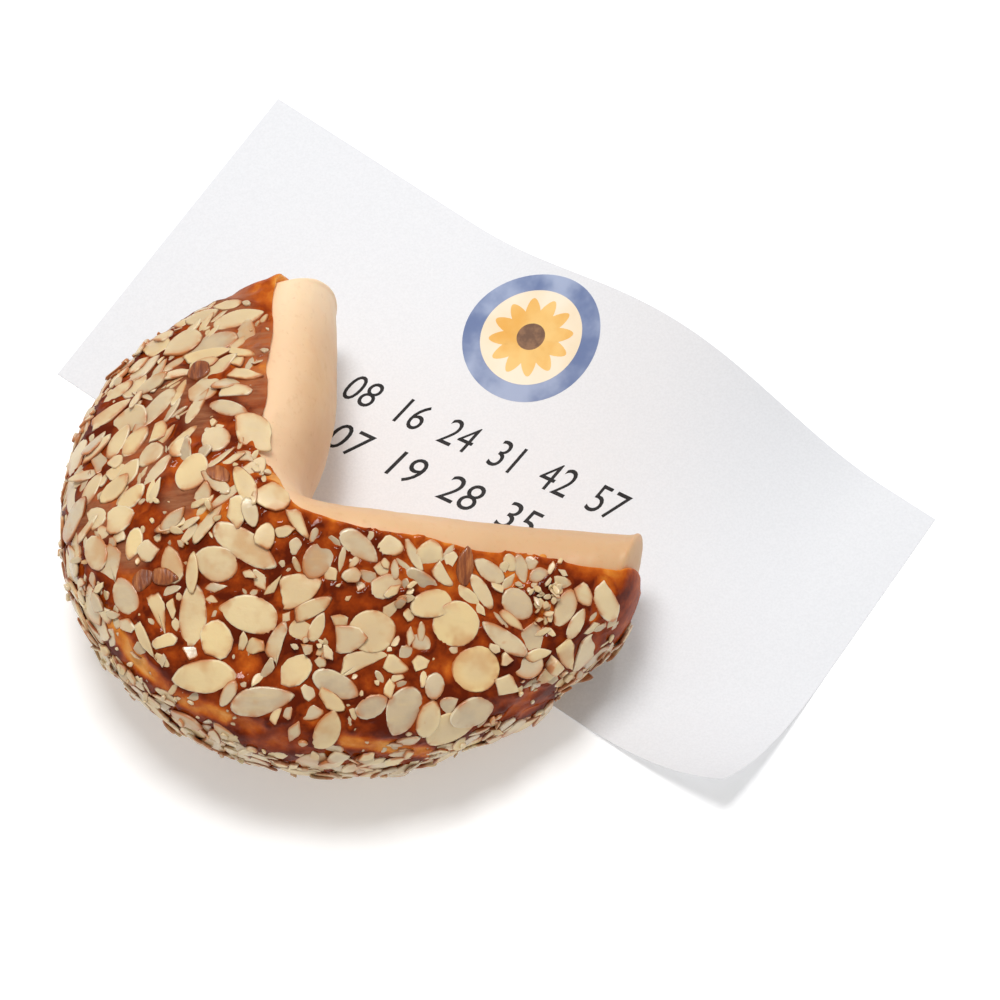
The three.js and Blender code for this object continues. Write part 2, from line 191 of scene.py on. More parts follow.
def sight_line(x, y):
    direction = (LOOK * CAMERA_DISTANCE + RIGHT * (x - PICTURE / 2) / PIXELS_PER_MM
                 - UP * (y - PICTURE / 2) / PIXELS_PER_MM)
    return direction / np.linalg.norm(direction)


# ------------------------------------------------------------------ the puffed form
def fold_plan(along):
    root = np.hypot(along, CREASE_ROUNDING)
    reach = per_arm(along, PINCH_REACH_SHORT, PINCH_REACH_LONG)
    pinch = CREASE_PINCH * np.exp(-((along / reach) ** 2))
    return (((root - along) / 2)[..., None] * unit(SHORT_ARM_DIRECTION)
            + ((root + along) / 2)[..., None] * unit(LONG_ARM_DIRECTION)
            + pinch[..., None] * unit(PINCH_DIRECTION))


def rim_plan(along, growth=0.0):
    t = (along + SHORT_ARM) / (SHORT_ARM + LONG_ARM)
    radius = (growth + RIM_START_RADIUS + (RIM_END_RADIUS - RIM_START_RADIUS) * t ** RIM_GROWTH
              + RIM_WAVE * np.sin(2 * np.pi * t))
    angle = np.radians(RIM_START_ANGLE + (RIM_END_ANGLE - RIM_START_ANGLE) * t)
    return RIM_CENTRE + radius[..., None] * on_circle(angle)


def half_height(along):
    tip = per_arm(along, SHORT_TIP_HALF_HEIGHT, LONG_TIP_HALF_HEIGHT)
    arm = per_arm(along, SHORT_ARM, LONG_ARM)
    return BEND_HALF_HEIGHT + (tip - BEND_HALF_HEIGHT) * smooth(np.abs(along) / arm)


def tip_direction(end):
    pair = np.array([end, end - END_STEP * np.sign(end)])
    step = fold_plan(pair) + rim_plan(pair)
    step = step[0] - step[1]
    return step / np.linalg.norm(step)


SHORT_TIP_WAY, LONG_TIP_WAY = tip_direction(-SHORT_ARM), tip_direction(LONG_ARM)


def section(along, growth):
    """The plan line of the section at each station: its start, its direction and its length."""
    arm = per_arm(along, SHORT_ARM, LONG_ARM)
    station = np.clip(along, -SHORT_ARM, LONG_ARM)
    overrun = np.pi / 2 * np.clip((np.abs(along) - arm) / TIP_SPAN, 0, 1)
    shrink = np.cos(overrun)
    fold, rim = fold_plan(station), rim_plan(station, growth)
    across = rim - fold
    across /= np.linalg.norm(across, axis=-1, keepdims=True)
    fold = fold - across * growth[..., None]
    way = per_arm(along[..., None], SHORT_TIP_WAY, LONG_TIP_WAY)
    start = (fold + rim) / 2 + (fold - rim) / 2 * shrink[..., None]
    start = start + way * ((TIP_DEPTH + growth) * np.sin(overrun))[..., None]
    whole = np.linalg.norm(rim - fold, axis=-1)
    return station, shrink, start, across, whole


def end_depths(length):
    """How much of a section's length is taken by its round at the fold and its round at the rim."""
    return np.minimum(FOLD_DEPTH, FOLD_SHARE * length), np.minimum(RIM_DEPTH, RIM_SHARE * length)


def skin(along, around, growth):
    """The puffed surface: around is 0 at the fold, 1 at the rim over the top, 2 back underneath."""
    along, around, growth = np.broadcast_arrays(*(np.asarray(v, float) for v in (along, around, growth)))
    station, shrink, start, across, whole = section(along, growth)
    length = np.maximum(whole * shrink, SHORTEST)
    fold_depth, rim_depth = end_depths(length)
    side = np.where(around <= 1, around, 2 - around)
    share = (side - FOLD_END) / (FLANK_END - FOLD_END)
    offset = fold_depth + (length - rim_depth - fold_depth) * share
    offset = np.where(side < FOLD_END, fold_depth * (1 - np.cos(np.pi / 2 * side / FOLD_END)), offset)
    turn = np.pi / 2 * (1 - side) / (1 - FLANK_END)
    offset = np.where(side > FLANK_END, length - rim_depth * (1 - np.cos(turn)), offset)
    plan = start + across * offset[..., None]
    lump = (LUMP_HEIGHT * np.sin(LUMP_PITCH * plan[..., 0] + LUMP_PHASE)
            * np.sin(LUMP_PITCH * plan[..., 1] + around))
    height = ((half_height(station) + growth + lump) * shrink
              * quarter_arc(offset / fold_depth, 2)
              * quarter_arc((length - offset) / rim_depth, RIM_SQUARENESS)
              * (1 - FLANK_FALL * np.clip(offset / length, 0, 1) ** FLANK_CURVE))
    droop = TIP_DROOP * (BEND_HALF_HEIGHT - half_height(station))
    z = MIDDLE_HEIGHT - droop + np.where(around <= 1, height, -height)
    return np.concatenate([plan, z[..., None]], -1) + SHIFT


PAPER_MARGIN, PAPER_CLEARANCE = 1.0, 0.35


def within(place, length):
    return (place > -PAPER_MARGIN) & (place < length + PAPER_MARGIN)


def floor_height(points):
    """How high the paper, or else the table, holds things up at each place."""
    plan = points[..., :2] - SHIFT[:2] - SLIP_CORNER
    lengthwise, crosswise = plan @ unit(SLIP_DIRECTION), plan @ unit(SLIP_DIRECTION - 90)
    inside = within(lengthwise, SLIP_LENGTH) & within(crosswise, SLIP_WIDTH)
    over = slip_height(np.clip(lengthwise, 0, SLIP_LENGTH), np.clip(crosswise, 0, SLIP_WIDTH))
    return np.where(inside, over + SLIP_THICKNESS + PAPER_CLEARANCE, 0.0)


# ------------------------------------------------------------------ smooth seeded unevenness
WAVE_COUNT, WAVE_SPREAD = 14, (0.7, 1.4)


class Waves:
    """Smooth unevenness of about one unit, summed from waves of one scale in random directions."""

    def __init__(self, scale):
        ways = rng.normal(size=(WAVE_COUNT, 3))
        ways /= np.linalg.norm(ways, axis=1, keepdims=True)
        self.ways = ways * (2 * np.pi / scale) * rng.uniform(*WAVE_SPREAD, (WAVE_COUNT, 1))
        self.phases = rng.uniform(0, 2 * np.pi, WAVE_COUNT)

    def __call__(self, points):
        return np.sin(points @ self.ways.T + self.phases).sum(-1) * math.sqrt(2 / WAVE_COUNT)


# ------------------------------------------------------------------ meshes
def add_object(name, vertices, faces, smooth_faces=True):
    """A piece in metres that rides on the one body."""
    mesh = bpy.data.meshes.new(name)
    mesh.from_pydata(np.asarray(vertices) * MM, [], [list(map(int, face)) for face in faces])
    mesh.update()
    if smooth_faces:
        mesh.polygons.foreach_set("use_smooth", np.ones(len(mesh.polygons), bool))
    piece = bpy.data.objects.new(name, mesh)
    bpy.context.scene.collection.objects.link(piece)
    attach(piece, "root")
    return piece


def add_tint(piece, values):
    layer = piece.data.color_attributes.new("tint", "FLOAT_COLOR", "POINT")
    flat = np.concatenate([values, np.ones((len(values), 4 - values.shape[1]))], 1)
    layer.data.foreach_set("color", flat.astype(np.float32).ravel())


def grid(first, second):
    return np.meshgrid(first, second, indexing="ij")


def tube_faces(stations, ring):
    """Quads of rings stacked on one another, and the fans that shut both ends on two last points."""
    i, j = grid(np.arange(stations - 1), np.arange(ring))
    here, following = i * ring + j, i * ring + (j + 1) % ring
    quads = np.stack([here, following, following + ring, here + ring], -1).reshape(-1, 4)
    first, last = stations * ring, stations * ring + 1
    top = (stations - 1) * ring
    k = np.arange(ring)
    fans = [np.stack([np.full(ring, first), (k + 1) % ring, k], -1),
            np.stack([np.full(ring, last), top + k, top + (k + 1) % ring], -1)]
    return [*quads, *fans[0], *fans[1]]


# ------------------------------------------------------------------ the biscuit
BISCUIT_STATIONS, BISCUIT_RING = 300, 160
EVEN_SHARE, CROWDED_SHARE = 0.55, 0.45
SWELL_SIZE, SWELL_HEIGHT = 17, 0.14
GRAIN_SIZE, GRAIN_HEIGHT = 4.5, 0.035
RELIEF_SINK = 0.15
FINE_END = 0.995
TIPS = np.array([-SHORT_ARM - TIP_SPAN, LONG_ARM + TIP_SPAN])


def crowded_near_fold(count):
    """Places round the section from 0 to 2, closer together on the bare fold."""
    half = np.linspace(0, 1, count // 2 + 1)
    half = half * EVEN_SHARE + half ** 3 * CROWDED_SHARE
    return np.concatenate([half, 2 - half[-2:0:-1]])


def along_places(count):
    return np.linspace(-SHORT_ARM - TIP_SPAN * FINE_END, LONG_ARM + TIP_SPAN * FINE_END, count)


def make_biscuit():
    along, around = along_places(BISCUIT_STATIONS), crowded_near_fold(BISCUIT_RING)
    points = skin(along[:, None], around[None, :], 0.0)
    swell, grain = Waves(SWELL_SIZE), Waves(GRAIN_SIZE)
    relief = SWELL_HEIGHT * swell(points) + GRAIN_HEIGHT * grain(points)
    points = skin(along[:, None], around[None, :], relief - RELIEF_SINK)
    vertices = np.concatenate([points.reshape(-1, 3), skin(TIPS, np.zeros(2), 0.0)])
    return add_object("biscuit", vertices, tube_faces(len(along), len(around)))


SPOT_REACH = 1.5


def away_from(points, places):
    """For each round place in the picture: how far off every point is there, and its radius."""
    x, y = to_picture(points).T
    return [(np.hypot(x - right, y - down), radius) for right, down, radius in places]


def near_spot(points, places):
    """How near each point is in the picture to any of the round places, from 0 to 1."""
    share = np.zeros(len(points))
    for away, radius in away_from(points, places):
        share = np.maximum(share, smooth(SPOT_REACH - away / radius))
    return share


# ------------------------------------------------------------------ the caramel
# Each spot: its place right and down in the picture, and its radius there, in the picture's pixels.
THICK_SPOTS = [(277, 281, 7), (300, 490, 5), (420, 536, 5), (507, 553, 4)]
THICK_GROWTH = 0.7
CARAMEL_STATIONS, CARAMEL_OUTSIDE, CARAMEL_INSIDE = 400, 200, 12
ARC_STEPS, SHORTEST_ARC = 260, 20
CARAMEL_DEPTH = 2.3
BEAD_DEPTH, BEAD_REACH, POOL_REACH = 1.2, 0.6, 6.0
BROAD_HEIGHT, BROAD_SIZE = 0.34, 15
FINE_HEIGHT, FINE_SIZE = 0.16, 5
UNEVEN_REACH = 4
EDGE_TUCK = 0.45
EDGE_GROWTH = 1.0
FARTHEST_EDGE = 0.95
EDGE_PLACES = np.array([0, 0.25, 0.5, 0.8, 1.2, 1.7, 2.3, 3.0])


def band_width(along, phase):
    return (BAND_WIDTH - BAND_NARROWING * np.exp(-((along / BAND_NARROWING_REACH) ** 2))
            + BAND_WAVE * np.sin(BAND_WAVE_PITCH * along + phase)
            * np.sin(BAND_SWELL_PITCH * along + 2 * phase))


def band_side(along, phase):
    """Where the caramel's edge lies on the around coordinate, and how far it passes either end."""
    station, shrink, _, _, whole = section(along, np.full_like(along, EDGE_GROWTH))
    length = np.maximum(whole * shrink, SHORTEST)
    offset = band_width(station, phase) + EDGE_GROWTH - (1 - shrink) * whole / 2
    fold_depth, rim_depth = end_depths(length)
    inside = FOLD_END * 2 / np.pi * np.arccos(np.clip(1 - offset / fold_depth, -1, 1))
    beyond = (offset - fold_depth) / np.maximum(length - rim_depth - fold_depth, SHORTEST)
    beyond = FOLD_END + beyond * (FLANK_END - FOLD_END)
    around = np.clip(np.where(offset < fold_depth, inside, beyond), 0, FARTHEST_EDGE) * (offset > 0)
    return around, np.maximum(0, -offset), np.maximum(0, offset - length)


def caramel_grid():
    """Places of the caramel's outer surface: along, around and the distance from its edge."""
    along = along_places(CARAMEL_STATIONS)
    upper, upper_spare, upper_excess = band_side(along, UPPER_BAND_PHASE)
    lower, lower_spare, lower_excess = band_side(along, LOWER_BAND_PHASE)
    excess = np.maximum(upper_excess, lower_excess)
    fine = np.linspace(0, 1, ARC_STEPS)
    around = upper[:, None] + (2 - lower - upper)[:, None] * fine
    points = skin(along[:, None], around, EDGE_GROWTH)
    steps = np.linalg.norm(np.diff(points, axis=1), axis=-1)
    arc = np.concatenate([np.zeros((len(along), 1)), np.cumsum(steps, 1)], 1)
    chosen = np.empty((len(along), CARAMEL_OUTSIDE))
    edge_distance = np.empty_like(chosen)
    for i, total in enumerate(arc[:, -1]):
        near = EDGE_PLACES * min(1.0, total / SHORTEST_ARC)
        middle = np.linspace(near[-1], total - near[-1], CARAMEL_OUTSIDE - 2 * len(near) + 2)[1:-1]
        places = np.concatenate([near, middle, total - near[::-1]])
        chosen[i] = np.interp(places, arc[i], around[i])
        nearer = np.minimum(places + upper_spare[i], total - places + lower_spare[i])
        edge_distance[i] = np.maximum(0, nearer - excess[i])
    return along, chosen, edge_distance


INSET = 0.03
LOWEST = np.array(cad_box[0]) / MM + INSET
HIGHEST = np.array(cad_box[1]) / MM - INSET


def keep_inside(points, clearance=0.0):
    """Holds points above the paper and the table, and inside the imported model's box."""
    points[..., 2] = np.maximum(points[..., 2], floor_height(points) + clearance)
    return np.clip(points, [*LOWEST[:2], 0], HIGHEST)


CALM_SPAN = 4
CREST_LIMIT = 0.12


def calm_share(along):
    """From 1 on the arms down to 0 at the very tips, where the surface has to be even."""
    arm = per_arm(along, SHORT_ARM, LONG_ARM)
    return smooth((arm + CALM_SPAN / 2 - np.abs(along)) / CALM_SPAN)


class Caramel:
    """The caramel's surface before and after the almonds draw it up round their edges."""

    def __init__(self):
        self.along, self.around, self.edge_distance = caramel_grid()
        rough = self.surface(CARAMEL_DEPTH)
        deep = self.inland(UNEVEN_REACH)
        level = (-EDGE_TUCK + (BEAD_DEPTH + EDGE_TUCK) * self.inland(BEAD_REACH)
                 + (CARAMEL_DEPTH - BEAD_DEPTH) * self.inland(POOL_REACH))
        self.calm = calm_share(self.along)[:, None]
        broad = BROAD_HEIGHT * Waves(BROAD_SIZE)(rough)
        unevenness = self.calm * deep * (broad + FINE_HEIGHT * Waves(FINE_SIZE)(rough))
        self.growth = level + np.minimum(unevenness, CREST_LIMIT)
        self.bed_points = self.surface(np.minimum(self.growth, CARAMEL_DEPTH))
        coarse = self.bed_points[::2, ::2]
        self.bed = BVHTree.FromPolygons([tuple(point) for point in coarse.reshape(-1, 3)],
                                        self.sheet_faces(coarse.shape))

    def surface(self, growth):
        return skin(self.along[:, None], self.around, growth)

    def inland(self, reach=1):
        """From 0 at the caramel's edge towards 1, most of the way within the reach."""
        return 1 - np.exp(-self.edge_distance / reach)

    @staticmethod
    def sheet_faces(shape):
        i, j = grid(np.arange(shape[0] - 1), np.arange(shape[1] - 1))
        here = i * shape[1] + j
        return np.stack([here, here + 1, here + shape[1] + 1, here + shape[1]], -1).reshape(-1, 4).tolist()

    def swollen(self, growth):
        """The growth with a thick place where the picture shows one."""
        points = self.surface(growth)
        above = points[..., 2] > MIDDLE_HEIGHT
        near = near_spot(points.reshape(-1, 3), THICK_SPOTS).reshape(growth.shape) * above
        return growth + THICK_GROWTH * near * self.inland()

    def make(self, climb):
        """The closed piece, its points and its depth there: climb is the extra growth outside."""
        growth = self.swollen(self.growth + climb * self.calm)
        outer = keep_inside(self.surface(growth))
        back = np.linspace(self.around[:, -1], self.around[:, 0], CARAMEL_INSIDE + 2, axis=1)[:, 1:-1]
        inner = skin(self.along[:, None], back, -EDGE_TUCK)
        ring = np.concatenate([outer, inner], 1)
        poles = skin(TIPS, np.ones(2), growth[[0, -1]].mean(1))
        vertices = np.concatenate([ring.reshape(-1, 3), poles])
        faces = tube_faces(len(self.along), ring.shape[1])
        piece = add_object("caramel", vertices, faces)
        depth = np.concatenate([growth, np.full(inner.shape[:2], CARAMEL_DEPTH)], 1).ravel()
        return piece, ring.reshape(-1, 3), np.append(depth, [CARAMEL_DEPTH] * 2)


# ------------------------------------------------------------------ outlines of sliced almonds
CRUMB_CORNERS, FEW_CORNERS, SOME_CORNERS, MANY_CORNERS, MOST_CORNERS = 7, 12, 14, 20, 24
WOBBLES, WOBBLE_TURN = ((2, 1.0), (3, 1.0), (5, 0.6)), 6.3
TAPER, POINTED_LEAN = 0.6, 0.16
JAG = 0.03
CHIP_SIDES, CHIP_TURN, CHIP_REACHES, CHIP_ROUGHNESS = (4, 7), 0.35, (0.8, 1.1), 0.04
CRUMB_WIDTHS = (0.5, 0.95)


def about_zero(limit):
    return rng.uniform(-limit, limit)


def outline_angles(count):
    return np.linspace(0, 2 * np.pi, count, endpoint=False)


def slice_outline(half_length, half_width, count, pointed, wobble=0.03):
    """A lengthwise slice: one end pointed, the other round."""
    angle = outline_angles(count)
    sine, cosine = np.sin(angle), np.cos(angle)
    taper = 1 + TAPER * pointed * np.clip(cosine, 0, 1)
    y = np.sign(sine) * np.abs(sine) ** taper * (1 - POINTED_LEAN * pointed * cosine)
    uneven = sum(share * np.sin(turns * angle + rng.uniform(0, WOBBLE_TURN)) for turns, share in WOBBLES)
    uneven = 1 + wobble * uneven
    return np.stack([half_length * cosine * uneven, half_width * y * uneven], -1)


def break_outline(outline, turn, keep):
    """Cuts an outline off along a slightly ragged line."""
    way = np.array([math.cos(turn), math.sin(turn)])
    reach = outline @ way
    extra = np.maximum(reach - keep * reach.max(), 0)
    jag = rng.uniform(-JAG, JAG, len(outline)) * reach.max() * (extra > 0)
    return outline - (extra - jag)[:, None] * way


def chip_outline(half_length, half_width, count):
    """A splinter with a few straight sides and sharp corners."""
    sides = rng.integers(*CHIP_SIDES)
    corner_angles = np.sort(outline_angles(sides) + rng.uniform(-CHIP_TURN, CHIP_TURN, sides))
    corner_reach = rng.uniform(*CHIP_REACHES, sides)
    points = on_circle(corner_angles) * corner_reach[:, None]
    closed = np.concatenate([points, points[:1]])
    run = np.concatenate([[0], np.cumsum(np.linalg.norm(np.diff(closed, axis=0), axis=1))])
    at = np.linspace(0, run[-1], count, endpoint=False)
    shape = np.stack([np.interp(at, run, closed[:, 0]), np.interp(at, run, closed[:, 1])], -1)
    shape *= 1 + rng.uniform(-CHIP_ROUGHNESS, CHIP_ROUGHNESS, (count, 1))
    return shape * [half_length, half_width]


def crumb_outline(half):
    return chip_outline(half, half * rng.uniform(*CRUMB_WIDTHS), CRUMB_CORNERS)


# The rings of a slice from its top to its underside: how far each one lies in from the outline, its
# height as a share of the thickness, and how near the edge the material takes it to be.
RING_INSETS = np.array([0.62, 0.3, 0.0, 0.2])
RING_HEIGHTS = np.array([0.5, 0.47, 0.12, -0.45])
RING_EDGES = np.array([0.4, 0.62, 0.8, 1.0])
SMALL_INSET = 0.35
UNDERSIDE_EDGE, PLAIN_EDGE = 0.5, 0.62


def flake_faces(count):
    faces = []
    rings = len(RING_INSETS)
    for k in range(count):
        after = (k + 1) % count
        faces.append((0, 1 + k, 1 + after))
        for ring in range(rings - 1):
            a, b = 1 + ring * count + k, 1 + ring * count + after
            faces.append((a, a + count, b + count, b))
        low = 1 + (rings - 1) * count
        faces.append((low + k, rings * count + 1, low + after))
    return faces


FACES_FOR = {count: flake_faces(count)
             for count in (CRUMB_CORNERS, FEW_CORNERS, SOME_CORNERS, MANY_CORNERS, MOST_CORNERS)}


def flake_points(outline, thickness, bend, dome):
    """A slice about its own middle: its points, and how near each one is to the slice's edge."""
    centre = outline.mean(0)
    half_width = np.abs(outline - centre).max(0).min()
    scales = 1 - np.minimum(RING_INSETS / half_width, RING_INSETS * SMALL_INSET)
    points, edge = [np.append(centre, thickness / 2 + dome)], [0.0]
    for scale, height, nearness in zip(scales, RING_HEIGHTS, RING_EDGES):
        ring = centre + (outline - centre) * scale
        rise = thickness * height + dome * (1 - scale) * (height > 0)
        points.extend(np.column_stack([ring, np.full(len(ring), rise)]))
        edge.extend([nearness] * len(ring))
    points.append(np.append(centre, -thickness / 2))
    edge.append(UNDERSIDE_EDGE)
    points = np.array(points)
    points[:, 2] += bend[0] * points[:, 0] ** 2 + bend[1] * points[:, 0] * points[:, 1]
    return points, np.array(edge)


# ------------------------------------------------------------------ laying the almonds
FIT_CORNERS, OUTER_FIT, INNER_FIT = 12, 0.9, 0.45
TUCKED_DEPTH, TUCKED_LIFT, LAID_LIFT = -0.9, 0.15, 0.75
STEEPEST = 0.55
HERO_COVER = 0.36
FLAKE_CLEARANCE = 0.02


class Almonds:
    """Slices lying on the caramel and on one another, gathered into a few meshes."""

    def __init__(self, bed):
        self.bed = bed
        self.centres, self.frames, self.halves, self.planes, self.tops, self.heroes = [], [], [], [], [], []
        self.meshes = {name: {"points": [], "faces": [], "tints": [], "count": 0}
                       for name in ("almond_slices", "almond_bits", "almond_skins")}

    def plane_for(self, centre, frame, half, thickness, sink, hero, lean):
        """Fits the slice on what it overlaps. Returns its height plane and the share overlapped."""
        ring = on_circle(outline_angles(FIT_CORNERS)) * half * OUTER_FIT
        local = np.concatenate([ring, ring * INNER_FIT, [[0, 0]]])
        wanted = np.zeros(len(local))
        covered = np.zeros(len(local), bool)
        on_hero = False
        if self.centres:
            near = np.linalg.norm(np.array(self.centres) - centre, axis=1)
            reach = np.array(self.halves).max(1) + half.max()
            for j in np.nonzero(near < reach)[0]:
                spots = centre + local @ frame[:2] - self.centres[j]
                u, v = spots @ self.frames[j][0], spots @ self.frames[j][1]
                inside = (u / self.halves[j][0]) ** 2 + (v / self.halves[j][1]) ** 2 < 1
                if inside.any():
                    plane = self.planes[j]
                    top = plane[0] + plane[1] * u + plane[2] * v + self.tops[j]
                    wanted = np.where(inside, np.maximum(wanted, top), wanted)
                    covered |= inside
                    on_hero |= self.heroes[j]
        under = (on_hero and not hero) or lean < 0
        if under:
            wanted = np.where(covered, TUCKED_DEPTH, 0.0)
        design = np.column_stack([np.ones(len(local)), local])
        fit = np.linalg.lstsq(design, wanted, rcond=None)[0]
        gap = wanted - design @ fit
        fit[0] += (TUCKED_LIFT if under else LAID_LIFT) * max(gap.max(), 0)
        fit[1:] = np.clip(fit[1:], -STEEPEST, STEEPEST)
        fit[0] += thickness / 2 - sink
        return fit, covered.mean(), on_hero

    def lay(self, name, centre, normal, way, outline, thickness, tint, sink=0.5, conform=0.4,
            roll=0.0, hero=False, lean=1, most_covered=1.0, highest=3.4, bend=(0, 0), dome=0.0,
            tilt=(0.0, 0.0), hero_cover=HERO_COVER):
        """Lays one slice, unless it would lie too high or cover too much of the others.

        Heroes are the slices listed one by one: they are laid always, and others cover little of them.
        """
        normal = normal / np.linalg.norm(normal)
        way = way - normal * (way @ normal)
        way /= np.linalg.norm(way)
        frame = np.stack([way, np.cross(normal, way), normal])
        if roll:
            turned = frame[1] * math.cos(roll) + frame[2] * math.sin(roll)
            frame = np.stack([frame[0], turned, np.cross(frame[0], turned)])
        half = np.abs(outline - outline.mean(0)).max(0)
        plane, covered, on_hero = self.plane_for(centre, frame, half, thickness, sink, hero, lean)
        too_covered = covered > most_covered or (on_hero and covered > hero_cover)
        if not hero and (too_covered or plane[0] > highest):
            return
        if roll:
            plane = np.zeros(3)
        plane[1:] += tilt
        points, edge = flake_points(outline - outline.mean(0), thickness, bend, dome)
        height = plane[0] + plane[1] * points[:, 0] + plane[2] * points[:, 1] + points[:, 2]
        flat_base = centre + points[:, :2] @ frame[:2]
        placed = flat_base + height[:, None] * frame[2]
        if not roll and conform:
            for k, base in enumerate(flat_base):
                spot, outward, _, _ = self.bed.find_nearest(Vector(base))
                outward = np.array(outward)
                outward *= np.sign(outward @ normal) or 1
                placed[k] = placed[k] * (1 - conform) + (np.array(spot) + outward * height[k]) * conform
        target = self.meshes[name]
        start = target["count"]
        target["points"].append(placed)
        target["faces"].extend(tuple(start + k for k in face) for face in FACES_FOR[len(outline)])
        if roll or len(outline) == CRUMB_CORNERS:
            edge = np.minimum(edge, PLAIN_EDGE)
        target["tints"].append(np.column_stack([np.tile(tint, (len(points), 1)), edge]))
        target["count"] += len(points)
        self.centres.append(centre)
        self.frames.append(frame)
        self.halves.append(half)
        self.planes.append(plane)
        self.tops.append(thickness / 2)
        self.heroes.append(hero)

    def make(self, name, slot_name):
        data = self.meshes[name]
        points = keep_inside(np.concatenate(data["points"]), FLAKE_CLEARANCE)
        piece = add_object(name, points, data["faces"])
        add_tint(piece, np.concatenate(data["tints"]))
        return piece


